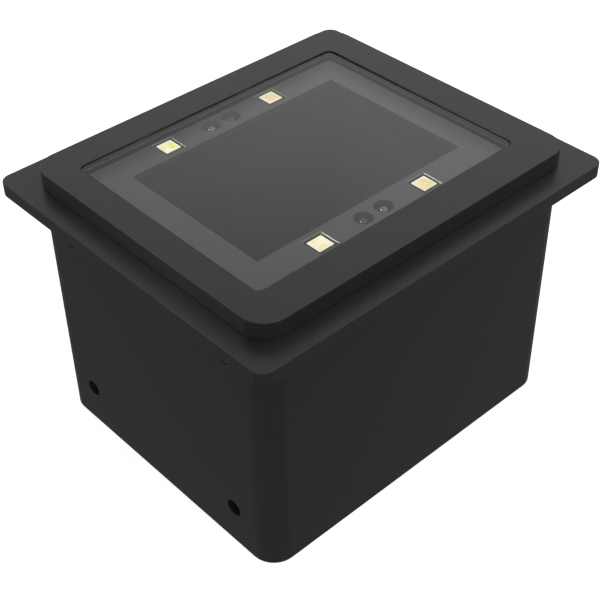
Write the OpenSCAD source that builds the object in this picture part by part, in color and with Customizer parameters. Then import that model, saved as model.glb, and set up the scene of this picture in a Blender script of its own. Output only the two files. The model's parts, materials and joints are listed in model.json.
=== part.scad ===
// Embedded code reader for a counter or kiosk panel: a box body with a mounting flange,
// a raised bezel round a glass window, lamps under the glass and a camera at the bottom of a light well.
// Millimetres, +Z up, origin at the middle of the base. The long sides run along X.

/* [Case] */
// Length of the mounting flange
flange_l = 78; // [74:0.5:90]
// Width of the mounting flange
flange_w = 67.4; // [63:0.2:80]
// Thickness of the mounting flange
flange_t = 2.55; // [1.5:0.05:3]
// Corner radius of the mounting flange
flange_r = 2.2; // [1:0.1:8]
// Length of the body and of the bezel
body_l = 69.8; // [69:0.1:73]
// Width of the body and of the bezel
body_w = 58.7; // [58:0.1:62]
// Corner radius of the body and of the bezel
body_r = 4.5; // [3:0.1:6]
// Height from the base to the bezel's top face
case_h = 53.4; // [51:0.1:62]
// Height of the bezel above the flange
bezel_rise = 3.25; // [2.5:0.05:4.5]
// Thickness of the walls
wall = 2; // [1.6:0.1:2.2]
// Thickness of the bottom cover
cover_t = 2; // [1.6:0.1:3]
// Play between the bottom cover and the walls
cover_gap = 0.2; // [0.1:0.05:0.4]
// Length of the bare label recess under the bottom cover
label_l = 36; // [20:1:40]
// Width of the bare label recess
label_w = 22; // [10:1:26]
// Depth of the bare label recess
label_depth = 0.3; // [0.1:0.05:0.6]

/* [Window] */
// Length of the window opening
window_l = 58; // [54:0.1:60]
// Width of the window opening
window_w = 45.2; // [42:0.2:47]
// Corner radius of the window opening
window_r = 1.4; // [0.5:0.1:2]
// Depth of the glass below the bezel's top face
window_recess = 0.4; // [0.2:0.05:0.8]
// Thickness of the window glass
glass_t = 2.2; // [1.5:0.1:2.6]
// Play between the glass and the bezel
glass_gap = 0.1; // [0.05:0.05:0.3]
// Width of the tape ring under the glass
tape_w = 1.1; // [0.6:0.1:1.6]
// Thickness of the tape ring
tape_t = 0.1; // [0.05:0.05:0.3]

/* [Light plate] */
// Thickness of the plate round the view opening
plate_t = 1.2; // [0.8:0.1:1.6]
// Length of the view opening
view_l = 45.8; // [40:0.1:48]
// Width of the view opening
view_w = 31.5; // [26:0.1:32]
// Shift of the window and the optics along X from the middle of the case
optics_x = -0.65; // [-1.2:0.05:0]
// Shift of the window and the optics along Y from the middle of the case
optics_y = 0.4; // [0:0.05:0.6]
// Height of the plate's feet above the lamp board
foot_h = 0.5; // [0.3:0.1:1]
// Width of the plate's feet
foot_w = 2; // [1:0.1:3]
// Length of the feet on the long sides
foot_long = 30; // [10:1:40]
// Length of the feet on the short sides
foot_short = 20; // [10:1:30]

/* [Lamps] */
// Distance between the white lamps along X
lamp_pitch_x = 23.5; // [20:0.25:30]
// Distance between the two lamp rows along Y
lamp_pitch_y = 37.9; // [37.6:0.1:38.6]
// Shift of the lamps along X from the middle of the window
lamp_shift_x = -1; // [-2:0.05:2]
// Side of a lamp's dark body
lamp_size = 3.85; // [3.5:0.05:4]
// Depth of a lamp's face below the plate's top face
lamp_sink = 0.1; // [0.05:0.05:0.3]
// Side of a lamp's phosphor tile
phosphor_size = 3.2; // [2.4:0.05:3.4]
// Height of a phosphor tile
phosphor_h = 0.6; // [0.5:0.05:0.8]
// Depth of a lamp's dark rim below the face of its tile
rim_drop = 0.4; // [0.1:0.05:0.45]
// Gap between a lamp and the sides of its square well in the plate
well_gap = 0.1; // [0.05:0.05:0.4]
// Distance between the two sensors of a pair
sensor_pitch = 4.6; // [4.4:0.1:6]
// Diameter of a sensor's hole in the plate
sensor_hole_d = 3.4; // [3:0.1:3.8]
// Diameter of a sensor's round foot
sensor_d = 2.8; // [2:0.1:2.9]
// Height of a sensor's round foot
sensor_foot_h = 0.5; // [0.3:0.1:0.7]
// Diameter of a sensor's dome
dome_d = 1.9; // [1.4:0.1:2]

/* [Lamp board and shroud] */
// Thickness of the lamp board
lamp_board_t = 1; // [0.8:0.1:1.6]
// Play between the clamped stack and the walls
stack_gap = 0.4; // [0.2:0.05:0.6]
// Thickness of the shroud's top flange
shroud_flange_t = 1.5; // [1:0.1:2.5]
// Thickness of the shroud's walls
shroud_wall = 0.8; // [0.6:0.05:0.9]
// Play between the shroud's collar and the lamp board
collar_gap = 0.2; // [0.1:0.05:0.25]
// Length of the shroud's throat at the lens
throat_l = 18; // [16:0.5:22]
// Width of the shroud's throat at the lens
throat_w = 16; // [15.5:0.5:18]
// Thickness of the shroud's floor
shroud_floor_t = 2; // [1.2:0.1:3]
// Width of the ledge that carries the stack
ledge_w = 1.6; // [1:0.1:2]
// Thickness of the ledge and of its corner lugs
ledge_t = 2; // [1.5:0.1:3]
// Diameter of a corner lug
lug_d = 7.2; // [6:0.1:8]

/* [Camera] */
// Height of the camera board's underside above the main board
camera_h = 7.4; // [6.8:0.1:9]
// Length of the camera board
camera_board_l = 26; // [25:0.5:28]
// Width of the camera board
camera_board_w = 20; // [19.5:0.5:22]
// Thickness of the camera board
camera_board_t = 1.2; // [0.8:0.1:1.6]
// Height of the shroud's legs above the camera board
leg_h = 8.8; // [8.6:0.1:10]
// Diameter of the shroud's legs
leg_d = 4.2; // [3.6:0.1:4.4]
// Distance between the legs along X
leg_pitch_x = 20.6; // [20:0.1:21]
// Distance between the legs along Y
leg_pitch_y = 14.6; // [14:0.1:15]
// Length of the image sensor's package
imager_l = 7.6; // [5:0.1:9]
// Width of the image sensor's package
imager_w = 6.2; // [4:0.1:8]
// Height of the image sensor's package
imager_h = 0.8; // [0.5:0.1:1.2]
// Margin of the image sensor's cover glass inside its package
imager_glass_margin = 0.5; // [0.3:0.1:1]
// Thickness of the image sensor's cover glass
imager_glass_t = 0.4; // [0.2:0.1:0.6]
// Side of the lens holder's square base
holder_size = 15; // [14.5:0.1:15.6]
// Height of the lens holder's base
holder_base_h = 4; // [3.6:0.1:4.6]
// Height of the whole lens holder
holder_h = 8; // [7:0.1:8.2]
// Side of the hollow under the lens holder
holder_hollow = 11; // [10:0.1:11.5]
// Thickness of the filter shelf in the lens holder
holder_shelf_t = 1; // [0.6:0.1:1.5]
// Diameter of the lens thread, drawn plain
lens_thread_d = 12; // [11.5:0.1:12.5]
// Play of the lens thread on the diameter
lens_thread_gap = 0.1; // [0.05:0.05:0.2]
// Wall of the lens holder's tube
holder_tube_wall = 1.2; // [1:0.1:1.3]
// Diameter of the infrared filter
filter_d = 10.6; // [10:0.1:11]
// Thickness of the infrared filter
filter_t = 0.5; // [0.3:0.1:0.7]
// Diameter of the light way through the filter shelf
filter_way_d = 8.4; // [7:0.1:9]
// Length of the lens barrel
barrel_h = 6; // [5.6:0.1:6.6]
// Diameter of the lens barrel's head
barrel_head_d = 13.6; // [13:0.1:14]
// Height of the lens barrel's head
barrel_head_h = 2.6; // [2:0.1:2.8]
// Gap between the infrared filter and the barrel
barrel_lift = 0.7; // [0.5:0.1:1.2]
// Play between the barrel's head and the shroud's floor, on the diameter
barrel_play = 0.9; // [0.6:0.1:1.2]
// Diameter of the front lens
front_lens_d = 10.4; // [9:0.1:11]
// Height of the front lens's rim
front_lens_rim = 0.9; // [0.5:0.1:1.2]
// Height of the front lens's dome
front_lens_dome = 1.1; // [0.6:0.1:1.4]
// Diameter of the rear lens
rear_lens_d = 8.6; // [7:0.1:9.4]
// Height of the rear lens's rim
rear_lens_rim = 0.8; // [0.5:0.1:1]
// Height of the rear lens's dome
rear_lens_dome = 0.5; // [0.3:0.1:0.6]
// Diameter of the lens aperture
aperture_d = 4.4; // [2:0.1:5]

/* [Main board] */
// Thickness of the main board
board_t = 1.6; // [1:0.1:2]
// Height of the standoffs under the main board
standoff_h = 4; // [3:0.1:6]
// Diameter of the standoffs
standoff_d = 5; // [4:0.1:5.5]
// Distance between the standoffs along X
standoff_pitch_x = 49; // [46:0.5:49]
// Distance between the standoffs along Y
standoff_pitch_y = 26; // [24:0.5:26]
// Clearance round the main board
board_gap = 0.8; // [0.5:0.1:1.2]
// Side of the processor
processor_size = 13; // [10:0.5:14]
// Height of the processor
processor_h = 1.3; // [0.8:0.1:1.8]
// Length of the memory chip along Y
memory_l = 12; // [10:0.5:14]
// Width of the memory chip along X
memory_w = 7; // [5:0.5:8]
// Height of the memory chip
memory_h = 1; // [0.7:0.1:1.4]
// Length of the interface chip
interface_l = 10; // [8:0.5:12]
// Width of the interface chip
interface_w = 5; // [4:0.5:6]
// Height of the interface chip
interface_h = 1.6; // [1:0.1:2]
// Place of the interface chip along X
interface_x = 7; // [5:0.5:12]
// Diameter of the buzzer
buzzer_d = 12; // [9:0.5:12.5]
// Height of the buzzer
buzzer_h = 5.4; // [4:0.1:5.8]
// Diameter of the buzzer's sound hole
buzzer_hole_d = 2.4; // [1.5:0.1:3]
// Place of the buzzer along X
buzzer_x = -10; // [-11:0.5:-8]
// Diameter of a capacitor
capacitor_d = 6.3; // [5:0.1:6.6]
// Height of a capacitor
capacitor_h = 7.7; // [5:0.1:9]
// Distance between the capacitors
capacitor_pitch = 10; // [8:0.5:11]
// Side of the power inductor
inductor_size = 6; // [5:0.1:6.6]
// Height of the power inductor
inductor_h = 3; // [2:0.1:4]
// Place of the power inductor along X
inductor_x = 15; // [14:0.5:17]
// Length of the clock crystal
crystal_l = 5; // [3:0.1:5.5]
// Width of the clock crystal
crystal_w = 3.2; // [2:0.1:3.5]
// Height of the clock crystal
crystal_h = 1.2; // [0.8:0.1:1.6]
// Place of the clock crystal along X
crystal_x = -13; // [-17:0.5:-13]
// Clearance between parts on the main board
chip_gap = 1.2; // [0.8:0.1:1.6]
// Clearance between the processor and the camera ribbon's socket
ribbon_socket_gap = 2.05; // [1:0.05:3]

/* [Ribbons] */
// Width of the camera ribbon
camera_ribbon_w = 7; // [5:0.5:7.5]
// Width of the lamp ribbon
lamp_ribbon_w = 6; // [4:0.5:8]
// Thickness of the ribbons
ribbon_t = 0.3; // [0.2:0.05:0.4]
// Sideways slack of the lamp ribbon
ribbon_slack = 2.4; // [1:0.1:2.6]
// Depth of a ribbon socket, from its mouth to its back
ribbon_socket_l = 4; // [3.5:0.1:4.5]
// Height of a ribbon socket
ribbon_socket_h = 2; // [1.5:0.1:2.2]
// Width of a ribbon socket beyond its ribbon
ribbon_socket_margin = 2.5; // [2:0.1:2.6]

/* [Cable socket] */
// Length of the cable socket
socket_l = 16.4; // [15:0.1:17]
// Width of the cable socket
socket_w = 15.8; // [15:0.1:16.5]
// Height of the cable socket
socket_h = 13.2; // [12:0.1:14]
// Gap between the cable socket and the wall
socket_gap = 0.2; // [0.1:0.05:0.4]
// Width of the plug's way in
plug_w = 11.9; // [11.6:0.1:12.2]
// Height of the plug's way in, without the latch
plug_h = 7; // [6.6:0.1:7.4]
// Depth of the plug's way in
plug_depth = 12.5; // [11:0.1:13]
// Width of the latch groove
latch_w = 6.2; // [5.8:0.1:6.6]
// Height of the latch groove
latch_h = 1.8; // [1.4:0.1:2.2]
// Height of the socket's sill below the latch groove
sill_h = 1.7; // [1.4:0.1:2]
// Margin of the cut-out in the wall round the plug's way in
cutout_margin = 1; // [0.6:0.1:1.4]
// Number of contacts in the cable socket
contact_count = 8; // [4:1:10]
// Distance between the contacts
contact_pitch = 1.02; // [0.9:0.01:1.1]
// Width of a contact
contact_w = 0.45; // [0.3:0.05:0.6]
// Thickness of a contact
contact_t = 0.4; // [0.3:0.05:0.5]
// Length of a contact
contact_l = 8; // [6:0.5:9]

/* [Side holes] */
// Core diameter of the tapped side holes
side_hole_d = 3.2; // [2.4:0.1:3.4]
// Diameter of the lead-in at the face
side_hole_lead_d = 3.5; // [3.4:0.1:4]
// Depth of the side holes
side_hole_depth = 6; // [4:0.1:6.4]
// Distance between the side holes along Y
side_pitch_y = 40; // [38:0.2:41]
// Distance between the side holes along Z
side_pitch_z = 34.4; // [28:0.2:35]
// Height of the lower side holes
side_low_z = 8.3; // [7:0.1:10]
// Diameter of the bosses behind the side holes
side_boss_d = 5.4; // [4.8:0.1:5.6]
// Length of the bosses behind the side holes
side_boss_l = 5; // [4.8:0.1:5.4]

/* [Screws] */
// Thread diameter of the case screws
case_screw_d = 2.5; // [2:0.1:2.6]
// Head diameter of the case screws
case_head_d = 4.5; // [4:0.1:4.6]
// Head height of the case screws
case_head_h = 1.5; // [1:0.1:1.6]
// Length of the bezel screws below the head
bezel_screw_l = 6; // [5:0.1:6.2]
// Length of the bottom screws with the head
cover_screw_l = 10; // [7:0.5:12]
// Thread diameter of the board screws
board_screw_d = 2; // [1.6:0.1:2.2]
// Head diameter of the board screws
board_head_d = 3.8; // [3:0.1:3.8]
// Head height of the board screws
board_head_h = 1.3; // [1:0.1:1.4]
// Length of the main board's screws below the head
board_screw_l = 4.6; // [3:0.1:5]
// Length of the camera board's screws below the head
camera_screw_l = 5; // [4:0.1:7]
// Play of a screw in its hole, on the diameter
screw_gap = 0.1; // [0.05:0.05:0.2]
// Diameter of the bezel's screw bosses
boss_d = 5; // [4.4:0.1:5.2]
// Play between the bezel's bosses and what stands round them
boss_gap = 0.2; // [0.1:0.05:0.3]
// Diameter of the pillars for the bottom screws
pillar_d = 6; // [5:0.1:6.4]
// Height of the pillars above the bottom cover
pillar_h = 12; // [11:0.5:16]
// Distance between the pillars along X
pillar_pitch_x = 40; // [34:0.5:44]
// Distance from a pillar's axis to the long wall
pillar_inset = 4.2; // [3.6:0.1:5]
// Thickness of the rib between a pillar and the wall
pillar_rib_t = 2; // [1.2:0.1:3]

/* [Hidden] */
$fn = 64;
// Overlap that joins two shapes of one solid, and overshoot of a cut
weld = 0.5;
// Depth of a screw's cross recess as a share of its head, and the share of the head that it spans
cross_depth = 0.55;
cross_span = 0.6;
cross_arm = 0.16;
// Steps along the lamp ribbon's bow
ribbon_steps = 24;
// Fineness of the lenses' shallow domes
lens_facets = 240;

// Heights from the base up
board_low = cover_t + standoff_h;
board_top = board_low + board_t;
camera_low = board_top + camera_h;
camera_top = camera_low + camera_board_t;
shelf_top = camera_top + holder_base_h;
barrel_low = shelf_top + filter_t + barrel_lift;
barrel_top = barrel_low + barrel_h;
shroud_low = camera_top + leg_h;
shroud_floor = shroud_low + shroud_floor_t;

// Heights from the bezel's top face down
flange_top = case_h - bezel_rise;
flange_low = flange_top - flange_t;
glass_low = case_h - window_recess - glass_t;
plate_top = glass_low - tape_t;
plate_low = plate_top - plate_t;
lamp_board_top = plate_low - foot_h;
lamp_board_low = lamp_board_top - lamp_board_t;
lamp_top = plate_top - lamp_sink;
ledge_top = lamp_board_low - shroud_flange_t;
ledge_low = ledge_top - ledge_t;
boss_low = ledge_top + boss_gap;

// Plan sizes
inner_l = body_l - 2 * wall;
inner_w = body_w - 2 * wall;
inner_r = body_r - wall;
glass_l = window_l - 2 * glass_gap;
glass_w = window_w - 2 * glass_gap;
glass_r = max(window_r - glass_gap, 0.2);
stack_l = inner_l - 2 * stack_gap;
stack_w = inner_w - 2 * stack_gap;
boss_x = inner_l / 2 - boss_gap - boss_d / 2;
boss_y = inner_w / 2 - boss_gap - boss_d / 2;
notch_x = boss_x - boss_d / 2 - boss_gap;
notch_y = boss_y - boss_d / 2 - boss_gap;
well_size = lamp_size + 2 * well_gap;
collar_l = view_l + 2 * shroud_wall;
collar_w = view_w + 2 * shroud_wall;
pillar_x = pillar_pitch_x / 2;
pillar_y = inner_w / 2 - pillar_inset;
side_y = side_pitch_y / 2;
side_high_z = side_low_z + side_pitch_z;
board_l = inner_l - 2 * board_gap;
board_w = 2 * (pillar_y - pillar_d / 2 - board_gap);
board_notch_x = inner_l / 2 - side_boss_l - board_gap;
board_notch_y = side_y - side_boss_d / 2 - board_gap;
bore_d = lens_thread_d + lens_thread_gap;
leg_hole_h = camera_screw_l - camera_board_t + weld;

// Places on the main board
socket_front = inner_l / 2 - socket_gap;
socket_back = socket_front - socket_l;
plug_low = board_top + sill_h + latch_h;
lamp_socket_x = (optics_x - collar_l / 2 - inner_l / 2 + ledge_w) / 2;
memory_x = socket_back - chip_gap - memory_w / 2;
processor_x = memory_x - (memory_w + processor_size) / 2 - chip_gap;
camera_socket_x = processor_x - (processor_size + ribbon_socket_l) / 2 - ribbon_socket_gap;
loop_x = camera_socket_x - ribbon_socket_l / 2;
row_y = camera_board_w / 2 + chip_gap;

// Plan of a rectangle with round corners
module rounded(l, w, r) {
    square([l - 2 * r, w], center = true);
    square([l, w - 2 * r], center = true);
    for (x = [-1, 1], y = [-1, 1])
        translate([x * (l / 2 - r), y * (w / 2 - r)])
            circle(r);
}

// Upright slab on that plan, from height z
module slab(l, w, r, z, h) {
    translate([0, 0, z])
        linear_extrude(h)
            rounded(l, w, r);
}

// Upright block centred on (x, y), from height z
module block(x, y, z, size) {
    translate([x - size[0] / 2, y - size[1] / 2, z])
        cube(size);
}

// Upright round bar centred on (x, y), from height z
module rod(x, y, z, d, h) {
    translate([x, y, z])
        cylinder(d = d, h = h);
}

// Copies the children to the four corners of a rectangle
module at_corners(x, y) {
    for (i = [-1, 1], j = [-1, 1])
        translate([i * x, j * y, 0])
            children();
}

// Plan of the clamped stack: it fills the case apart from the corners, where the bezel's bosses pass
module stack_plan() {
    difference() {
        square([stack_l, stack_w], center = true);
        for (i = [-1, 1], j = [-1, 1])
            translate([i * (notch_x + stack_l / 2), j * (notch_y + stack_w / 2)])
                square([stack_l, stack_w], center = true);
    }
}

// Rectangular funnel that widens from its foot to a straight collar
module funnel(foot, top, z_foot, z_collar, z_top) {
    span = 2 * max(top[0], top[1]);
    intersection() {
        rotate([90, 0, 0])
            linear_extrude(span, center = true)
                funnel_side(foot[0], top[0], z_foot, z_collar, z_top);
        rotate([90, 0, 90])
            linear_extrude(span, center = true)
                funnel_side(foot[1], top[1], z_foot, z_collar, z_top);
    }
}

// Side view of the funnel
module funnel_side(foot, top, z_foot, z_collar, z_top) {
    polygon([
        [-foot / 2, z_foot], [foot / 2, z_foot], [top / 2, z_collar],
        [top / 2, z_top], [-top / 2, z_top], [-top / 2, z_collar]
    ]);
}

// Cross recess cut into a screw's head whose face lies at height 0, with the head above it
module cross_recess(head_d, head_h) {
    for (a = [0, 90])
        rotate(a)
            translate([-head_d * cross_span / 2, -head_d * cross_arm / 2, -weld])
                cube([head_d * cross_span, head_d * cross_arm, head_h * cross_depth + weld]);
}

// Screw that points up: its flat head's face is at height 0
module pan_screw(d, head_d, head_h, l) {
    difference() {
        union() {
            cylinder(d = head_d, h = head_h);
            cylinder(d = d, h = head_h + l);
        }
        cross_recess(head_d, head_h);
    }
}

// Countersunk screw that points up: its head's face is at height 0
module sunk_screw(d, head_d, head_h, l) {
    difference() {
        union() {
            cylinder(d1 = head_d, d2 = d, h = head_h);
            cylinder(d = d, h = l);
        }
        cross_recess(head_d, head_h);
    }
}

// Copies the children to the white lamps' places
module at_lamps() {
    translate([optics_x + lamp_shift_x, optics_y, 0])
        at_corners(lamp_pitch_x / 2, lamp_pitch_y / 2)
            children();
}

// Copies the children to the sensors on one diagonal of the two pairs
module at_sensors(side) {
    for (j = [-1, 1])
        translate([optics_x + lamp_shift_x - side * j * sensor_pitch / 2, optics_y + j * lamp_pitch_y / 2, 0])
            children();
}

// Copies the children to the side holes of both ends, with +Z pointing out of the case
module at_side_holes() {
    for (i = [-1, 1], j = [-1, 1], z = [side_low_z, side_high_z])
        translate([i * body_l / 2, j * side_y, z])
            rotate([0, i * 90, 0])
                children();
}

// Box with the flange: walls, the ledge for the stack, pillars and the tapped side holes
module housing() {
    plug_top = plug_low + plug_h;
    cut_low = board_top + sill_h - cutout_margin;
    color("#262626")
        difference() {
            union() {
                difference() {
                    union() {
                        slab(body_l, body_w, body_r, 0, flange_top);
                        slab(flange_l, flange_w, flange_r, flange_low, flange_t);
                    }
                    slab(inner_l, inner_w, inner_r, -weld, flange_top + 2 * weld);
                }
                housing_ledge();
                housing_pillars();
                housing_bosses();
            }
            at_corners(boss_x, boss_y) {
                rod(0, 0, ledge_low - weld, case_screw_d + screw_gap, ledge_t + 2 * weld);
                rod(0, 0, ledge_low - case_head_h - weld, case_head_d + 2 * screw_gap, case_head_h + weld);
            }
            at_corners(pillar_x, pillar_y)
                rod(0, 0, cover_t - weld, case_screw_d + screw_gap, cover_screw_l - cover_t + 2 * weld);
            at_side_holes()
                side_hole();
            translate([body_l / 2, 0, (cut_low + plug_top + cutout_margin) / 2])
                rotate([90, 0, 90])
                    linear_extrude(2 * (wall + weld), center = true)
                        rounded(plug_w + 2 * cutout_margin, plug_top + cutout_margin - cut_low, cutout_margin);
        }
}

// Ledge round the walls with a lug in each corner
module housing_ledge() {
    translate([0, 0, ledge_low])
        linear_extrude(ledge_t)
            difference() {
                rounded(inner_l + weld, inner_w + weld, inner_r + weld / 2);
                difference() {
                    rounded(inner_l - 2 * ledge_w, inner_w - 2 * ledge_w, inner_r);
                    for (i = [-1, 1], j = [-1, 1])
                        translate([i * boss_x, j * boss_y])
                            circle(d = lug_d);
                }
            }
}

// Pillars for the bottom screws, each with a rib to the long wall
module housing_pillars() {
    at_corners(pillar_x, pillar_y)
        rod(0, 0, cover_t, pillar_d, pillar_h);
    for (i = [-1, 1], j = [-1, 1])
        block(i * pillar_x, j * (pillar_y + (pillar_inset + weld) / 2), cover_t,
            [pillar_rib_t, pillar_inset + weld, pillar_h]);
}

// Bosses behind the side holes, which stay below the stack on the ledge
module housing_bosses() {
    intersection() {
        at_side_holes()
            translate([0, 0, -wall - side_boss_l])
                cylinder(d = side_boss_d, h = side_boss_l + weld);
        slab(body_l, body_w, body_r, 0, ledge_top);
    }
}

// Blind tapped hole with a lead-in, cut downwards from height 0
module side_hole() {
    lead = (side_hole_lead_d - side_hole_d) / 2;
    translate([0, 0, -side_hole_depth])
        cylinder(d = side_hole_d, h = side_hole_depth + weld);
    translate([0, 0, -lead])
        cylinder(d1 = side_hole_d, d2 = side_hole_lead_d + 2 * lead, h = 2 * lead);
}

// Raised frame round the window, with a screw boss in each corner
module front_bezel() {
    color("#303030")
        difference() {
            union() {
                difference() {
                    slab(body_l, body_w, body_r, flange_top, bezel_rise);
                    slab(inner_l, inner_w, inner_r, flange_top - weld, plate_top - flange_top + weld);
                }
                intersection() {
                    at_corners(boss_x, boss_y)
                        rod(0, 0, boss_low, boss_d, plate_top - boss_low + weld);
                    slab(inner_l - 2 * boss_gap, inner_w - 2 * boss_gap, inner_r - boss_gap, boss_low, case_h);
                }
            }
            translate([optics_x, optics_y, 0])
                slab(window_l, window_w, window_r, plate_top - weld, case_h);
            at_corners(boss_x, boss_y)
                rod(0, 0, ledge_low, case_screw_d + screw_gap, bezel_screw_l + screw_gap);
        }
}

// Plate that closes the base, with standoffs for the main board
module bottom_cover() {
    sink_d = case_head_d + 2 * screw_gap;
    color("#232323")
        difference() {
            union() {
                slab(inner_l - 2 * cover_gap, inner_w - 2 * cover_gap, inner_r - cover_gap, 0, cover_t);
                at_corners(standoff_pitch_x / 2, standoff_pitch_y / 2)
                    rod(0, 0, cover_t - weld, standoff_d, standoff_h + weld);
            }
            at_corners(pillar_x, pillar_y) {
                rod(0, 0, -weld, case_screw_d + 2 * screw_gap, cover_t + 2 * weld);
                cylinder(d1 = sink_d, d2 = case_screw_d + 2 * screw_gap, h = case_head_h);
            }
            at_corners(standoff_pitch_x / 2, standoff_pitch_y / 2)
                rod(0, 0, board_top - board_screw_l - screw_gap, board_screw_d + screw_gap, board_top);
            block(0, 0, -weld, [label_l, label_w, label_depth + weld]);
        }
}

// Countersunk screws that hold the bottom cover
module bottom_cover_screws() {
    color("#55585c")
        at_corners(pillar_x, pillar_y)
            sunk_screw(case_screw_d, case_head_d, case_head_h, cover_screw_l);
}

// Screws that pull the bezel down onto the stack
module bezel_screws() {
    color("#55585c")
        at_corners(boss_x, boss_y)
            translate([0, 0, ledge_low - case_head_h])
                pan_screw(case_screw_d, case_head_d, case_head_h, bezel_screw_l);
}

// Clear window
module window_glass() {
    color("#8fa3a8", 0.35)
        translate([optics_x, optics_y, 0])
            slab(glass_l, glass_w, glass_r, glass_low, glass_t);
}

// Adhesive ring between the glass and the plate
module window_tape() {
    color("#1c1c1c")
        translate([optics_x, optics_y, 0])
            difference() {
                slab(glass_l, glass_w, glass_r, plate_top, tape_t);
                slab(glass_l - 2 * tape_w, glass_w - 2 * tape_w, glass_r, plate_top - weld, tape_t + 2 * weld);
            }
}

// Grey plate under the glass, open to the camera, the lamps and the sensors
module light_plate() {
    color("#4a4a4a")
        difference() {
            union() {
                translate([0, 0, plate_low])
                    linear_extrude(plate_t)
                        stack_plan();
                for (j = [-1, 1])
                    block(0, j * (stack_w - foot_w) / 2, lamp_board_top, [foot_long, foot_w, foot_h + weld]);
                for (i = [-1, 1])
                    block(i * (stack_l - foot_w) / 2, 0, lamp_board_top, [foot_w, foot_short, foot_h + weld]);
            }
            block(optics_x, optics_y, plate_low - weld, [view_l, view_w, plate_t + 2 * weld]);
            at_lamps()
                block(0, 0, plate_low - weld, [well_size, well_size, plate_t + 2 * weld]);
            for (side = [-1, 1])
                at_sensors(side)
                    rod(0, 0, plate_low - weld, sensor_hole_d, plate_t + 2 * weld);
        }
}

// Board that carries the lamps and sensors, open round the shroud's collar
module lamp_board() {
    color("#1d3a2a")
        difference() {
            translate([0, 0, lamp_board_low])
                linear_extrude(lamp_board_t)
                    stack_plan();
            block(optics_x, optics_y, lamp_board_low - weld,
                [collar_l + 2 * collar_gap, collar_w + 2 * collar_gap, lamp_board_t + 2 * weld]);
        }
}

// Dark bodies of the lamps, each with a shallow pocket for its tile
module lamp_bases() {
    body_h = lamp_top - rim_drop - lamp_board_top;
    color("#242422")
        at_lamps()
            difference() {
                block(0, 0, lamp_board_top, [lamp_size, lamp_size, body_h]);
                block(0, 0, lamp_top - phosphor_h, [phosphor_size, phosphor_size, phosphor_h + weld]);
            }
}

// Yellow phosphor tiles, which stand up from the lamps' rims
module lamp_phosphors() {
    color("#f2d982")
        at_lamps()
            block(0, 0, lamp_top - phosphor_h, [phosphor_size, phosphor_size, phosphor_h]);
}

// Domed sensor on its round foot
module domed_sensor() {
    rod(0, 0, lamp_board_top, sensor_d, sensor_foot_h);
    translate([0, 0, lamp_board_top + sensor_foot_h])
        intersection() {
            sphere(d = dome_d);
            translate([0, 0, -weld / 2])
                cylinder(d = 2 * dome_d, h = dome_d);
        }
}

// Clear domes that send infrared light
module infrared_emitters() {
    color("#b8bcc0")
        at_sensors(1)
            domed_sensor();
}

// Dark domes that receive it
module infrared_receivers() {
    color("#26242a")
        at_sensors(-1)
            domed_sensor();
}

// Socket for the lamp ribbon, under the lamp board
module lamp_ribbon_socket() {
    color("#d9d5c8")
        block(lamp_socket_x, 0, lamp_board_low - ribbon_socket_h,
            [ribbon_socket_l, lamp_ribbon_w + ribbon_socket_margin, ribbon_socket_h]);
}

// Black funnel between the window and the lens, with a flange, a collar and legs for the camera
module light_shroud() {
    foot = [throat_l, throat_w];
    view = [view_l, view_w];
    skin = 2 * shroud_wall;
    collar_top = plate_low;
    color("#141414")
        difference() {
            union() {
                translate([0, 0, ledge_top])
                    linear_extrude(shroud_flange_t)
                        stack_plan();
                translate([optics_x, optics_y, 0])
                    funnel(foot + [skin, skin], view + [skin, skin], shroud_floor, ledge_top, collar_top);
                translate([optics_x, optics_y, 0])
                    shroud_foot();
            }
            translate([optics_x, optics_y, 0]) {
                funnel(foot, view, shroud_floor, ledge_top, collar_top + weld);
                rod(0, 0, shroud_low - weld, barrel_head_d + barrel_play, shroud_floor_t + 2 * weld);
                at_corners(leg_pitch_x / 2, leg_pitch_y / 2)
                    rod(0, 0, camera_top - weld, board_screw_d + screw_gap, leg_hole_h + weld);
            }
            block(lamp_socket_x, 0, ledge_top - weld,
                [ribbon_socket_l + 2 * board_gap, lamp_ribbon_w + ribbon_socket_margin + 2 * board_gap,
                 shroud_flange_t + 2 * weld]);
        }
}

// Floor of the funnel with the four legs that stand on the camera board
module shroud_foot() {
    l = max(throat_l + 2 * shroud_wall, leg_pitch_x + leg_d);
    w = max(throat_w + 2 * shroud_wall, leg_pitch_y + leg_d);
    slab(l, w, leg_d / 2, shroud_low, shroud_floor_t);
    at_corners(leg_pitch_x / 2, leg_pitch_y / 2)
        rod(0, 0, camera_top, leg_d, leg_h + weld);
}

// Board that carries the image sensor and the lens holder
module camera_board() {
    color("#1d3a2a")
        translate([optics_x, optics_y, 0])
            difference() {
                block(0, 0, camera_low, [camera_board_l, camera_board_w, camera_board_t]);
                at_corners(leg_pitch_x / 2, leg_pitch_y / 2)
                    rod(0, 0, camera_low - weld, board_screw_d + 2 * screw_gap, camera_board_t + 2 * weld);
            }
}

// Screws that hold the camera board to the shroud's legs
module camera_screws() {
    color("#8d8f92")
        translate([optics_x, optics_y, camera_low - board_head_h])
            at_corners(leg_pitch_x / 2, leg_pitch_y / 2)
                pan_screw(board_screw_d, board_head_d, board_head_h, camera_screw_l);
}

// Image sensor's package
module image_sensor() {
    color("#2c2a26")
        block(optics_x, optics_y, camera_top, [imager_l, imager_w, imager_h]);
}

// Cover glass on the image sensor
module image_sensor_glass() {
    color("#5d7288", 0.6)
        block(optics_x, optics_y, camera_top + imager_h,
            [imager_l - 2 * imager_glass_margin, imager_w - 2 * imager_glass_margin, imager_glass_t]);
}

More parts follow.
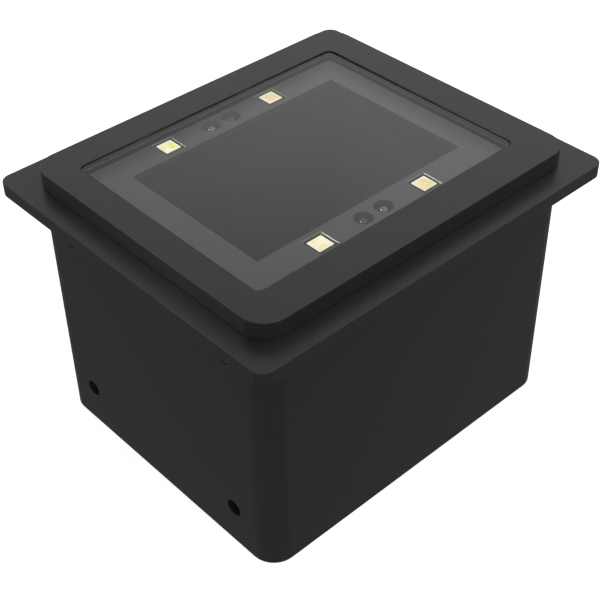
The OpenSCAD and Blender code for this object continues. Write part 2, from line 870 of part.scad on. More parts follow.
// Square base and round tube that carry the lens over the image sensor
module lens_holder() {
    hollow_h = holder_base_h - holder_shelf_t;
    color("#1a1a1a")
        translate([optics_x, optics_y, 0])
            difference() {
                union() {
                    block(0, 0, camera_top, [holder_size, holder_size, holder_base_h]);
                    rod(0, 0, camera_top, bore_d + 2 * holder_tube_wall, holder_h);
                }
                block(0, 0, camera_top - weld, [holder_hollow, holder_hollow, hollow_h + weld]);
                rod(0, 0, camera_top, filter_way_d, holder_h);
                rod(0, 0, shelf_top, bore_d, holder_h);
            }
}

// Infrared filter on the shelf in the lens holder
module infrared_filter() {
    color("#7ea8a0", 0.6)
        rod(optics_x, optics_y, shelf_top, filter_d, filter_t);
}

// Round barrel with a head, a seat for each lens and the aperture between them
module lens_barrel() {
    front_seat = barrel_top - front_lens_rim - front_lens_dome / 2;
    rear_seat = barrel_low + rear_lens_rim + rear_lens_dome;
    lens_play = 2 * screw_gap;
    color("#161616")
        translate([optics_x, optics_y, 0])
            difference() {
                union() {
                    rod(0, 0, barrel_low, lens_thread_d, barrel_h);
                    rod(0, 0, barrel_top - barrel_head_h, barrel_head_d, barrel_head_h);
                }
                rod(0, 0, barrel_low - weld, aperture_d, barrel_h + 2 * weld);
                rod(0, 0, front_seat, front_lens_d + lens_play, barrel_h);
                rod(0, 0, barrel_low - weld, rear_lens_d + lens_play, rear_seat - barrel_low + weld);
            }
}

// Lens with a flat side at height 0, a straight rim and a dome above it
module domed_lens(d, rim, dome) {
    r = (d * d / 4 + dome * dome) / (2 * dome);
    intersection() {
        cylinder(d = d, h = rim + dome);
        translate([0, 0, rim + dome - r])
            sphere(r = r, $fn = lens_facets);
    }
}

// Lens that shows at the bottom of the shroud
module front_lens() {
    color("#3b3f58", 0.7)
        translate([optics_x, optics_y, barrel_top - front_lens_rim - front_lens_dome / 2])
            domed_lens(front_lens_d, front_lens_rim, front_lens_dome);
}

// Lens that faces the image sensor
module rear_lens() {
    color("#3b3f58", 0.7)
        translate([optics_x, optics_y, barrel_low + rear_lens_rim + rear_lens_dome])
            rotate([180, 0, 0])
                domed_lens(rear_lens_d, rear_lens_rim, rear_lens_dome);
}

// Socket for the camera ribbon, under the camera board
module camera_ribbon_socket() {
    color("#d9d5c8")
        block(camera_socket_x, 0, camera_low - ribbon_socket_h,
            [ribbon_socket_l, camera_ribbon_w + ribbon_socket_margin, ribbon_socket_h]);
}

// Main circuit board, cut away at the corners round the side holes' bosses
module main_board() {
    color("#1d3a2a")
        difference() {
            translate([0, 0, board_low])
                linear_extrude(board_t)
                    difference() {
                        square([board_l, board_w], center = true);
                        for (i = [-1, 1], j = [-1, 1])
                            translate([i * (board_notch_x + board_l / 2), j * (board_notch_y + board_w / 2)])
                                square([board_l, board_w], center = true);
                    }
            at_corners(standoff_pitch_x / 2, standoff_pitch_y / 2)
                rod(0, 0, board_low - weld, board_screw_d + 2 * screw_gap, board_t + 2 * weld);
        }
}

// Screws that hold the main board to the bottom cover
module main_board_screws() {
    color("#8d8f92")
        at_corners(standoff_pitch_x / 2, standoff_pitch_y / 2)
            translate([0, 0, board_top + board_head_h])
                rotate([180, 0, 0])
                    pan_screw(board_screw_d, board_head_d, board_head_h, board_screw_l);
}

// Processor that decodes the picture
module processor() {
    color("#1b1b1d")
        block(processor_x, 0, board_top, [processor_size, processor_size, processor_h]);
}

// Memory chip beside the processor
module memory_chip() {
    color("#1b1b1d")
        block(memory_x, 0, board_top, [memory_w, memory_l, memory_h]);
}

// Chip that drives the cable
module interface_chip() {
    color("#1b1b1d")
        block(interface_x, row_y + interface_w / 2, board_top, [interface_l, interface_w, interface_h]);
}

// Round buzzer with a sound hole
module buzzer() {
    color("#191919")
        translate([buzzer_x, board_w / 2 - buzzer_d / 2, board_top])
            difference() {
                cylinder(d = buzzer_d, h = buzzer_h);
                translate([0, 0, buzzer_h / 2])
                    cylinder(d = buzzer_hole_d, h = buzzer_h);
            }
}

// Pair of can capacitors
module capacitors() {
    color("#b9bcc0")
        for (i = [-1, 1])
            rod(i * capacitor_pitch / 2, -row_y - capacitor_d / 2, board_top, capacitor_d, capacitor_h);
}

// Power inductor
module power_inductor() {
    color("#3a3a3c")
        block(inductor_x, -row_y - inductor_size / 2, board_top, [inductor_size, inductor_size, inductor_h]);
}

// Clock crystal in its metal can
module clock_crystal() {
    color("#c4c6c8")
        block(crystal_x, -row_y - crystal_w / 2, board_top, [crystal_l, crystal_w, crystal_h]);
}

// Sockets on the main board: one for the camera ribbon, one for the lamp ribbon
module board_ribbon_sockets() {
    color("#d9d5c8") {
        block(camera_socket_x, 0, board_top,
            [ribbon_socket_l, camera_ribbon_w + ribbon_socket_margin, ribbon_socket_h]);
        block(lamp_socket_x, 0, board_top,
            [ribbon_socket_l, lamp_ribbon_w + ribbon_socket_margin, ribbon_socket_h]);
    }
}

// Flat cable that loops from the camera board's socket down to the main board's
module camera_ribbon() {
    z_high = camera_low - ribbon_socket_h / 2;
    z_low = board_top + ribbon_socket_h / 2;
    r = (z_high - z_low) / 2;
    color("#e6e3da")
        translate([loop_x, camera_ribbon_w / 2, 0])
            rotate([90, 0, 0])
                linear_extrude(camera_ribbon_w)
                    difference() {
                        translate([-chip_gap, z_low + r])
                            circle(r + ribbon_t / 2);
                        translate([-chip_gap, z_low + r])
                            circle(r - ribbon_t / 2);
                        translate([-chip_gap, z_low - r])
                            square(4 * r);
                    }
    color("#e6e3da")
        for (z = [z_low, z_high])
            block(loop_x - chip_gap / 2, 0, z - ribbon_t / 2, [chip_gap, camera_ribbon_w, ribbon_t]);
}

// Flat cable that bows from the lamp board's socket down to the main board's
module lamp_ribbon() {
    z_low = board_top + ribbon_socket_h;
    z_high = lamp_board_low - ribbon_socket_h;
    bow = [for (i = [0 : ribbon_steps]) ribbon_slack * (1 - cos(360 * i / ribbon_steps)) / 2];
    rise = [for (i = [0 : ribbon_steps]) z_low + (z_high - z_low) * i / ribbon_steps];
    near = [for (i = [0 : ribbon_steps]) [bow[i] + ribbon_t / 2, rise[i]]];
    far = [for (i = [ribbon_steps : -1 : 0]) [bow[i] - ribbon_t / 2, rise[i]]];
    color("#e6e3da")
        translate([lamp_socket_x, lamp_ribbon_w / 2, 0])
            rotate([90, 0, 0])
                linear_extrude(lamp_ribbon_w)
                    polygon(concat(near, far));
}

// Modular socket for the reader's cable, open through the wall
module cable_socket() {
    color("#2a2a2c")
        difference() {
            block((socket_front + socket_back) / 2, 0, board_top, [socket_l, socket_w, socket_h]);
            block(socket_front - plug_depth / 2 + weld / 2, 0, plug_low, [plug_depth + weld, plug_w, plug_h]);
            block(socket_front - plug_depth / 2 + weld / 2, 0, plug_low - latch_h,
                [plug_depth + weld, latch_w, latch_h + weld]);
        }
}

// Row of spring contacts along the roof of the plug's way in
module socket_contacts() {
    row = (contact_count - 1) * contact_pitch;
    x = socket_front - plug_depth + contact_l / 2;
    color("#d8b45a")
        for (i = [0 : contact_count - 1])
            block(x, i * contact_pitch - row / 2, plug_low + plug_h - contact_t,
                [contact_l, contact_w, contact_t]);
}

housing();
front_bezel();
bottom_cover();
bottom_cover_screws();
bezel_screws();
window_glass();
window_tape();
light_plate();
lamp_board();
lamp_bases();
lamp_phosphors();
infrared_emitters();
infrared_receivers();
lamp_ribbon_socket();
light_shroud();
camera_board();
camera_screws();
image_sensor();
image_sensor_glass();
lens_holder();
infrared_filter();
lens_barrel();
front_lens();
rear_lens();
camera_ribbon_socket();
main_board();
main_board_screws();
processor();
memory_chip();
interface_chip();
buzzer();
capacitors();
power_inductor();
clock_crystal();
board_ribbon_sockets();
camera_ribbon();
lamp_ribbon();
cable_socket();
socket_contacts();
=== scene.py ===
import json
import math

import bpy
import numpy as np
from mathutils import Matrix, Vector


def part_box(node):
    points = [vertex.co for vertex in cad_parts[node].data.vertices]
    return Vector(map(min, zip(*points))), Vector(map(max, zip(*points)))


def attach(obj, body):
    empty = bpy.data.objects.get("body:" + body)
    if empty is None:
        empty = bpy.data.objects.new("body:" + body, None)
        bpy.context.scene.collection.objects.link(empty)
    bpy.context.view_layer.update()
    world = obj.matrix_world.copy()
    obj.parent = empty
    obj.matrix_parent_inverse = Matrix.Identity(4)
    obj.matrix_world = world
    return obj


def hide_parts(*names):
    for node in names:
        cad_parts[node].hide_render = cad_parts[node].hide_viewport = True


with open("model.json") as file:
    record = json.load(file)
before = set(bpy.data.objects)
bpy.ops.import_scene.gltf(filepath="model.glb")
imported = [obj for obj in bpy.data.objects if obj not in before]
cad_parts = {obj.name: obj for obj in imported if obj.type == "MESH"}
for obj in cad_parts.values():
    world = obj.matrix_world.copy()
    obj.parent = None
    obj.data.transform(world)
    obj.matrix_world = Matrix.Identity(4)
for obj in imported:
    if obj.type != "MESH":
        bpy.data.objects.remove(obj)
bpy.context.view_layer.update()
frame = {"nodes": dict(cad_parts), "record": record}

# Sizes are in millimetres, and the meshes in metres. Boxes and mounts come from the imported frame.
MM = 0.001
BOX = {name: [np.array(corner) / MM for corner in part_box(name)] for name in frame["nodes"]}
MOUNTS = {mount["name"]: mount for mount in frame["record"]["mounts"]}

# Fineness of the grids: steps in a plan corner, across an edge radius, and round a turned shape
CORNER_STEPS = 10
EDGE_STEPS = 5
TURN_STEPS = 48
# Smallest corner radius of a sharp plan corner, and the overshoot of a cut
SHARP = 0.01
OVER = 1.0
# Angle between faces, in degrees, up to which they are shaded as one
SMOOTH_ANGLE = 35

# Case: walls, plan corners and moulded edges. SEAM_EDGE runs along the parting lines, CREASE is the hollow
# fillet under the flange, LIP_EDGE runs round the window, and FINE_EDGE is for small parts.
WALL = 2.0
BODY_R = 4.5
FLANGE_R = 2.2
FLANGE_T = 2.55
EDGE = 0.1
SEAM_EDGE = 0.15
CREASE = 0.4
LIP_EDGE = 0.1
FINE_EDGE = 0.12

# Inside the case: the frame's screw bosses, the ledge below them and its lugs, the pillars of the bottom
# screws and their ribs, and the screws' holes
BOSS_D = 5.0
BOSS_GAP = 0.2
LEDGE_W = 1.6
LEDGE_T = 2.0
LUG_D = 7.2
PILLAR_D = 6.0
PILLAR_H = 12.0
PILLAR_RIB_T = 2.0
SCREW_HOLE_D = 2.6
HEAD_PLAY = 0.1

# Threads: steps in a pitch, the depth as a share of the pitch, and the pitches of M2.5, M4 and the lens
THREAD_STEPS = 8
THREAD_DEPTH = 0.5
SCREW_PITCH = 0.45
HOLE_PITCH = 0.7
LENS_PITCH = 0.5

# Tapped side holes and the bosses behind them: the mouth is widened by a lead-in, and the thread starts a
# little below it
HOLE_DEPTH = 6.0
HOLE_LEAD = 0.05
HOLE_PLAIN = 1.5
HOLE_BOSS_D = 5.4
HOLE_BOSS_L = 5.0

# Window: plan corners, plays and edges. The glass is bevelled more below than above, lies close to the
# frame at the far sides, and rises a little above its solid, so that the step down to it is as fine as in
# the photograph.
WINDOW_R = 1.4
GLASS_GAP = 0.1
GLASS_RISE = 0.12
FRAME_SHIFT = (-0.03, -0.08)
GLASS_EDGE = 0.03
GLASS_BEVEL = 0.15
TAPE_W = 1.1

# Plate under the glass: its openings and their edges, and its feet. The strips on the mouths of the lamps'
# wells have a height, a slope outwards and a thickness, and the back ones a share of the height.
VIEW_L = 45.8
VIEW_W = 31.5
WELL_GAP = 0.1
STRIP_H = 0.12
STRIP_SLOPE = 0.15
STRIP_T = 0.03
STRIP_BACK = 0.4
SENSOR_HOLE_D = 3.4
SENSOR_EDGE = 0.08
VIEW_EDGE = 0.04
PLATE_T = 1.2
FOOT_W = 2.0
FOOT_LONG = 30.0
FOOT_SHORT = 20.0

# Lamps and sensors. The tiles' warmth is in the order of lamp_places.
LAMP = 3.85
TILE = 3.2
TILE_PLAY = 0.02
TILE_R = 0.15
TILE_CROWN = 0.04
TILE_EDGE = 0.03
TILE_RINGS = 9
TILE_WARMTH = (0.05, 0.0, 0.5, 0.75)
SENSOR_D = 2.8
SENSOR_FOOT_H = 0.5
DOME_R = 0.95

# Bottom cover, its bare recess and its screws, each of which stops at its own angle in radians
COVER_R = 2.3
COVER_T = 2.0
LABEL_L = 36.0
LABEL_W = 22.0
LABEL_R = 1.0
LABEL_DEPTH = 0.3
SINK_D = 4.7
HEAD_D = 4.5
HEAD_H = 1.5
SHANK_D = 2.5
STANDOFF_D = 5.0
STANDOFF_X = 24.5
STANDOFF_Y = 13.0
BOARD_HOLE_D = 2.1
CROSS_SPAN = 2.7
CROSS_ARM = 0.72
CROSS_DEPTH = 0.8
SCREW_TURNS = (0.4, 1.1, 0.75, 0.15)

# Lens barrel with its grooves and aperture, and the front lens
BARREL_HEAD_H = 2.6
BARREL_THREAD_R = 6.0
BARREL_GROOVES = 3
BARREL_GROOVE = 0.15
APERTURE_R = 2.2
LENS_PLAY = 0.1
LENS_DOME = 1.1

# Cable socket: the plug's way, the latch groove and the cut-out in the case. A contact spring has a number
# of points round it, and a power below 1 that squares its round section.
PLUG_W = 11.9
PLUG_LOW = 11.1
PLUG_H = 7.0
PLUG_DEPTH = 12.5
LATCH_W = 6.2
LATCH_LOW = 9.3
CUTOUT_MARGIN = 1.0
SOCKET_EDGE = 0.3
MOUTH_EDGE = 0.5
CONTACTS = 8
CONTACT_PITCH = 1.02
CONTACT_W = 0.45
CONTACT_BOW = 0.25
CONTACT_STEPS = 12
CONTACT_SQUARE = 0.6

# Patterns of the finishes: the wave of a pane, the clouds and grain of the phosphor, the traces of a board
# and the conductors of a ribbon, each with its depth where it lifts the surface
PANE_WAVE = 25.0
PANE_WAVE_DEPTH = 0.002
CLOUD = 1.7
PHOSPHOR_GRAIN = 0.12
PHOSPHOR_GRAIN_DEPTH = 0.002
TRACE_PITCH = 2.4
TRACE_DEPTH = 0.02
CONDUCTOR_PITCH = 1.0
CONDUCTOR_DEPTH = 0.03
# Values between which most of a noise texture lies, and the length of a wave texture's wave at scale 1
NOISE_LOW = 0.3
NOISE_HIGH = 0.7
TEXTURE_WAVE = math.pi / 10
# Sockets of a colour mix, which has others of the same names: the factor, the two colours and the result
FACTOR = 0
FIRST = 6
SECOND = 7
MIXED = 2

# Floor, light levels of the room's left and right by elevation in degrees, and the direction of its left
FLOOR_SIZE = 4000.0
FLOOR_DROP = 0.05
FLOOR_GLOW = 0.75
ROOM_ELEVATIONS = (-90, -50, -25, -5, 10, 22, 28, 34, 40, 48, 60, 90)
ROOM_LEFT_LEVELS = (0.25, 0.13, 0.12, 0.73, 0.97, 0.7, 0.62, 0.36, 0.12, 0.24, 0.25, 0.3)
ROOM_RIGHT_LEVELS = (0.09, 0.15, 0.2, 0.15, 0.25, 0.58, 0.95, 0.95, 0.83, 0.91, 0.86, 0.72)
ROOM_LEFT = (-0.671, 0.741, 0.0)
# Lamp of the glints: place, aim, side, the spread of its beam in degrees, and power in watts
GLINT_PLACE = (-137.5, 115.6, 219.0)
GLINT_AIM = (-2.0, -9.0, 50.0)
GLINT_SIZE = 50.0
GLINT_SPREAD = 12.0
GLINT_POWER = 0.0028

# Camera at the photograph's angle: turn, rise and roll in degrees, its distance from the aim point, the
# lens, and the nearest distance seen
CAMERA_TURN = -42.172
CAMERA_RISE = 39.793
CAMERA_ROLL = -0.978
CAMERA_DISTANCE = 226.391
CAMERA_AIM = (-2.703, -1.827, 24.196)
CAMERA_LENS = 75.097
CAMERA_NEAR = CAMERA_DISTANCE / 20


# Grids

def quarter(radius):
    """Quarter circle in equal steps: radius less its sine, which falls to nothing, and radius less its
    cosine, which grows from nothing."""
    turn = np.linspace(0, math.pi / 2, EDGE_STEPS + 1)
    return radius * (1 - np.sin(turn)), radius * (1 - np.cos(turn))


def profile(*stretches):
    """Rows of a moulding. Each stretch gives a rectangle (length, width, corner radius and, where it isn't
    nought, its middle), how far the row is drawn in from it and the height, as numbers or arrays. A row is
    the length, width, radius, middle in X and Y, and height."""
    rows = []
    for plan, inset, height in stretches:
        length, width, corner, x, y = (*plan, 0.0, 0.0)[:5]
        inset, height = np.broadcast_arrays(np.atleast_1d(inset), np.atleast_1d(height))
        corners = np.maximum(corner - inset, SHARP)
        sides = [length - 2 * inset, width - 2 * inset, corners]
        rows.append(np.stack([*sides, x + 0 * inset, y + 0 * inset, height], axis=1))
    return np.concatenate(rows)


def moulding(rows, middle=(0.0, 0.0)):
    """Grid whose u runs round a rectangle with round corners and whose v runs through the rows: a point is
    its corner's centre plus the corner radius times the cosine and sine of its angle."""
    length, width, corner, shift_x, shift_y, height = rows.T[:, :, None]
    turn = np.linspace(0, math.pi / 2, CORNER_STEPS + 1)
    angle = (np.arange(4)[:, None] * math.pi / 2 + turn).ravel()
    side_x = np.repeat([1, -1, -1, 1], CORNER_STEPS + 1)
    side_y = np.repeat([1, 1, -1, -1], CORNER_STEPS + 1)
    x = middle[0] + shift_x + side_x * (length / 2 - corner) + corner * np.cos(angle)
    y = middle[1] + shift_y + side_y * (width / 2 - corner) + corner * np.sin(angle)
    return np.stack([x, y, np.broadcast_to(height, x.shape)], axis=-1)


def turned(radius, height):
    """Grid of a turned shape about Z: u is the angle, v runs along the profile of radius and height. The
    radius is a row of numbers, or for a thread a grid of rows by steps."""
    angle = np.arange(TURN_STEPS) * 2 * math.pi / TURN_STEPS
    radius = np.asarray(radius, float).reshape(len(height), -1)
    height = np.asarray(height, float)[:, None] + 0 * angle
    return np.stack([radius * np.cos(angle), radius * np.sin(angle), height], axis=-1)


def thread(core, pitch, low, high):
    """Heights and radius grid of a screw thread: the core plus a triangle wave of height over the pitch,
    which climbs one pitch a turn and fades out within a pitch of both ends."""
    height = np.arange(low, high, pitch / THREAD_STEPS)
    lift = height[:, None] / pitch - np.arange(TURN_STEPS) / TURN_STEPS
    wave = 1 - np.abs(2 * (lift - np.floor(lift)) - 1)
    fade = np.clip(np.minimum(height - low, high - height) / pitch, 0, 1)
    return height, core + THREAD_DEPTH * pitch * wave * fade[:, None]


def stood(grid, place, axis=(0, 0, 1), turn=0.0):
    """Grid turned about its own Z, then laid with Z along an axis of the frame and moved to a place."""
    axis = np.array(axis, float)
    side = np.roll(axis, 1)
    spin = np.array(Matrix.Rotation(turn, 3, "Z")).T
    return grid @ spin @ np.stack([side, np.cross(axis, side), axis]) + np.array(place, float)


def posts(places, low, high, diameter):
    """Upright round bars at places in plan."""
    bar = turned([diameter / 2] * 2, [low, high])
    return [stood(bar, (x, y, 0)) for x, y in places]


def block(low, high):
    """Upright block between two corners, with sharp edges."""
    size = np.subtract(high, low)
    rows = profile(((size[0], size[1], SHARP), 0, [low[2], high[2]]))
    return moulding(rows, np.add(low, high)[:2] / 2)


def soft_block(low, high, corner, edge):
    """Upright block with all its edges rounded: both ends draw in by a quarter circle."""
    size = np.subtract(high, low)
    plan = (size[0], size[1], corner)
    gone, rise = quarter(edge)
    rows = profile((plan, gone, low[2] + rise), (plan, rise, high[2] - gone))
    return moulding(rows, np.add(low, high)[:2] / 2)


def mirrored(x, y):
    """The four places at plus and minus x and y."""
    return [(i * x, j * y) for i in (-1, 1) for j in (-1, 1)]


def middle_of(node):
    """Middle of a node's box in plan."""
    low, high = BOX[node]
    return (low + high)[:2] / 2


# Meshes

def grid_faces(first, rows, columns, closed):
    """Quads between neighbouring rows and columns, counted from a first corner. Columns wrap round, and
    rows too on a closed grid, or else the first and last row get a cap."""
    row, column = np.meshgrid(np.arange(rows if closed else rows - 1), np.arange(columns), indexing="ij")
    above = (row + 1) % rows * columns
    after = (column + 1) % columns
    here = row * columns
    faces = np.stack([here + column, here + after, above + after, above + column], axis=-1)
    faces = (first + faces.reshape(-1, 4)).tolist()
    if not closed:
        ring = first + np.arange(columns)
        faces += [ring[::-1].tolist(), ((rows - 1) * columns + ring).tolist()]
    return faces


def piece_of(name, *grids, closed=False):
    """Object made of one or more grids, each a closed shell."""
    points = []
    faces = []
    for grid in grids:
        first = sum(map(len, points))
        faces += grid_faces(first, *grid.shape[:2], closed)
        points.append(grid.reshape(-1, 3))
    mesh = bpy.data.meshes.new(name)
    mesh.from_pydata((np.concatenate(points) * MM).tolist(), [], faces)
    piece = bpy.data.objects.new(name, mesh)
    bpy.context.scene.collection.objects.link(piece)
    return piece


def carve(piece, *steps):
    """Joins shells to a piece or cuts them out of it: each step is "UNION" or "DIFFERENCE" and its grids,
    whose shells lie apart. The result is applied to the mesh."""
    tools = []
    for operation, grids in steps:
        tool = piece_of("tool", *grids)
        change = piece.modifiers.new("carve", "BOOLEAN")
        change.operation = operation
        change.solver = "EXACT"
        change.object = tool
        tools.append(tool)
    seen = piece.evaluated_get(bpy.context.evaluated_depsgraph_get())
    mesh = bpy.data.meshes.new_from_object(seen)
    mesh.name = piece.name
    old = piece.data
    piece.modifiers.clear()
    piece.data = mesh
    bpy.data.meshes.remove(old)
    for tool in tools:
        bpy.data.meshes.remove(tool.data)


def hand_over(piece, finish, slot, *nodes):
    """Gives a piece its finish, shades it smooth up to an angle with flats kept flat, and seats it on the
    body in place of its CAD nodes."""
    piece.data.materials.clear()
    piece.data.materials.append(finish)
    piece.data.polygons.foreach_set("use_smooth", [True] * len(piece.data.polygons))
    piece.data.set_sharp_from_angle(angle=math.radians(SMOOTH_ANGLE))
    piece.modifiers.new("flats", "WEIGHTED_NORMAL").keep_sharp = True
    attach(piece, "root")
    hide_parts(*nodes)


def hide_from(thing, *rays):
    """Makes a piece, the floor or a lamp unseen by kinds of rays."""
    for ray in rays:
        setattr(thing, "visible_" + ray, False)


# Finishes

def linear(code):
    """Linear colour of an sRGB hex value."""
    value = np.array([int(code[i:i + 2], 16) for i in (1, 3, 5)]) / 255
    value = np.where(value <= 0.04045, value / 12.92, ((value + 0.055) / 1.055) ** 2.4)
    return (*value.tolist(), 1.0)


def add(tree, kind, inputs=(), **settings):
    """Adds a node with its settings. An input that is another node's output is linked, others are set."""
    node = tree.nodes.new(kind)
    for name, value in settings.items():
        setattr(node, name, value)
    for name, value in dict(inputs).items():
        if isinstance(value, bpy.types.NodeSocket):
            tree.links.new(value, node.inputs[name])
        else:
            node.inputs[name].default_value = value
    return node


def emptied(owner):
    """Emptied tree of nodes of a material or a world."""
    owner.use_nodes = True
    owner.node_tree.nodes.clear()
    return owner.node_tree


def blank(name):
    """New material, its empty tree of nodes, and the output there that gives a point's place."""
    material = bpy.data.materials.new(name)
    tree = emptied(material)
    return material, tree, add(tree, "ShaderNodeTexCoord").outputs["Object"]


def per_metre(size):
    """Texture scale that gives features of a size in millimetres."""
    return 1 / (size * MM)


def surface(name, colours, rough, patch, grain, depth, sockets):
    """Principled finish: colour wanders between two hex values and roughness between two numbers in soft
    patches, and a fine grain lifts the surface. Patch, grain and depth are in millimetres."""
    material, tree, place = blank(name)
    soft = add(tree, "ShaderNodeTexNoise", {"Vector": place, "Scale": per_metre(patch), "Detail": 4.0})
    fine = add(tree, "ShaderNodeTexNoise", {"Vector": place, "Scale": per_metre(grain), "Detail": 2.0})
    colour = add(tree, "ShaderNodeMix", {
        FACTOR: soft.outputs["Fac"], FIRST: linear(colours[0]), SECOND: linear(colours[1])},
        data_type="RGBA")
    gloss = add(tree, "ShaderNodeMapRange", {
        "Value": soft.outputs["Fac"], "From Min": NOISE_LOW, "From Max": NOISE_HIGH,
        "To Min": rough[0], "To Max": rough[1]})
    lift = add(tree, "ShaderNodeBump", {"Height": fine.outputs["Fac"], "Distance": depth * MM})
    shader = add(tree, "ShaderNodeBsdfPrincipled", {
        "Base Color": colour.outputs[MIXED], "Roughness": gloss.outputs["Result"],
        "Normal": lift.outputs["Normal"], **sockets})
    add(tree, "ShaderNodeOutputMaterial", {"Surface": shader.outputs["BSDF"]})
    return material


# Moulded ABS, spark-eroded tool: an even satin black that breaks up the reflection of the room. The real
# grain is about 0.05 mm, drawn coarser here so that it shows.
CASE_ABS = surface("abs_moulded_spark_texture_black", ("#2b2b2c", "#2f2f30"), (0.28, 0.34),
                   patch=6.0, grain=0.3, depth=0.003, sockets={"IOR": 1.53})
# Polycarbonate from a satin tool: an even dark grey with a soft sheen
PLATE_PC = surface("polycarbonate_moulded_satin_grey", ("#242425", "#282829"), (0.3, 0.36),
                   patch=5.0, grain=0.25, depth=0.001, sockets={"IOR": 1.58})
# Dead black ABS of the light shroud, which swallows stray light
SHROUD_ABS = surface("abs_moulded_dead_black", ("#080808", "#0a0a0a"), (0.75, 0.85),
                     patch=4.0, grain=0.2, depth=0.0, sockets={"IOR": 1.53, "Specular IOR Level": 0.25})
# Foam tape: matte black with a soft uneven grain
TAPE_FOAM = surface("acrylic_foam_tape_black", ("#121212", "#171717"), (0.7, 0.85),
                    patch=1.0, grain=0.15, depth=0.01, sockets={"IOR": 1.47})
# Dull nickel of the strips in the lamps' wells: throws the glint lamp's light back as a soft bright line
STRIP_NICKEL = surface("nickel_plated_dull", ("#8f8e8b", "#979693"), (0.44, 0.5),
                       patch=1.0, grain=0.1, depth=0.0005, sockets={"Metallic": 1.0})
# Dark moulded epoxy of the lamps' bodies, its darkness partly painted shade for the gap round each tile
LAMP_EPOXY = surface("epoxy_moulded_lamp_body", ("#141413", "#1a1a18"), (0.5, 0.6),
                     patch=0.6, grain=0.08, depth=0.003, sockets={"IOR": 1.55})
# Clear cast epoxy of the emitters: glassy with a bright glint, and grey from the lead frame beneath
DOME_CLEAR = surface("epoxy_cast_clear", ("#3c3c3b", "#4a4a48"), (0.05, 0.09),
                     patch=0.5, grain=0.2, depth=0.0002,
                     sockets={"IOR": 1.55, "Coat Weight": 1.0, "Coat Roughness": 0.05, "Coat IOR": 1.8})
# Epoxy dyed to pass infrared only: dark and glassy, with a weaker glint
DOME_DARK = surface("epoxy_cast_daylight_filter", ("#2c2b2d", "#363537"), (0.06, 0.1),
                    patch=0.5, grain=0.2, depth=0.0002, sockets={"IOR": 1.55})
# Black zinc on steel screws: dark metal with a soft sheen
SCREW_BLACK = surface("steel_zinc_plated_black", ("#2a2b2d", "#37383a"), (0.32, 0.45),
                      patch=0.8, grain=0.12, depth=0.002, sockets={"Metallic": 1.0})
# Bright zinc on steel screws: pale metal, slightly blue
SCREW_STEEL = surface("steel_zinc_plated_bright", ("#a9abae", "#bfc1c4"), (0.25, 0.38),
                      patch=0.8, grain=0.12, depth=0.002, sockets={"Metallic": 1.0})
# Moulded epoxy packages: dry grey-black with a fine blasted grain
CHIP_EPOXY = surface("epoxy_moulded_package", ("#171717", "#1f1f20"), (0.55, 0.68),
                     patch=2.0, grain=0.12, depth=0.006, sockets={"IOR": 1.55})
# Drawn aluminium cans: bright, with a faintly clouded sheen
CAN_ALUMINIUM = surface("aluminium_drawn_can", ("#c4c6c9", "#d5d7da"), (0.22, 0.34),
                        patch=1.5, grain=0.1, depth=0.002, sockets={"Metallic": 1.0})
# Pressed ferrite: dull dark grey with a powdery grain
FERRITE = surface("ferrite_pressed", ("#2f2f31", "#3b3b3d"), (0.6, 0.75),
                  patch=0.8, grain=0.15, depth=0.008, sockets={"IOR": 2.3})
# Ivory nylon sockets: waxy, slightly mottled
IVORY_NYLON = surface("nylon_moulded_ivory", ("#d8d2c0", "#e2dccb"), (0.4, 0.5),
                      patch=2.0, grain=0.2, depth=0.003, sockets={"IOR": 1.53})
# Black nylon of the cable socket: smooth from the tool, with a low gloss
SOCKET_NYLON = surface("nylon_moulded_black", ("#1b1b1d", "#222224"), (0.3, 0.4),
                       patch=3.0, grain=0.3, depth=0.003, sockets={"IOR": 1.53})
# Gold flash on spring bronze: warm and bright
CONTACT_GOLD = surface("bronze_gold_flashed", ("#d9b25f", "#e6c274"), (0.18, 0.28),
                       patch=0.6, grain=0.08, depth=0.001, sockets={"Metallic": 1.0})
# Black anodised aluminium of the lens barrel: fine matte with a metal sheen
BARREL_BLACK = surface("aluminium_anodised_black", ("#151516", "#1c1c1d"), (0.38, 0.5),
                       patch=1.0, grain=0.08, depth=0.003, sockets={"IOR": 1.77})


def pane(name, colour, sockets):
    """Clear glass that lets light pass: full transmission, with a faint tint and a faint wave."""
    material, tree, place = blank(name)
    wave = add(tree, "ShaderNodeTexNoise", {"Vector": place, "Scale": per_metre(PANE_WAVE), "Detail": 1.0})
    lift = add(tree, "ShaderNodeBump", {"Height": wave.outputs["Fac"], "Distance": PANE_WAVE_DEPTH * MM})
    shader = add(tree, "ShaderNodeBsdfPrincipled", {
        "Base Color": linear(colour), "Roughness": 0.0, "Transmission Weight": 1.0,
        "Normal": lift.outputs["Normal"], **sockets})
    add(tree, "ShaderNodeOutputMaterial", {"Surface": shader.outputs["BSDF"]})
    return material


# Float glass: clear, with the faintest wave, and its two faces veil what lies under it
WINDOW_GLASS = pane("float_glass_clear", "#fcfdfc", {"IOR": 1.52})
# Coated lens glass: clear with a faint bloom of colour
LENS_GLASS = pane("optical_glass_coated", "#dfe6ea",
                  {"IOR": 1.6, "Thin Film Thickness": 330.0, "Thin Film IOR": 1.38})


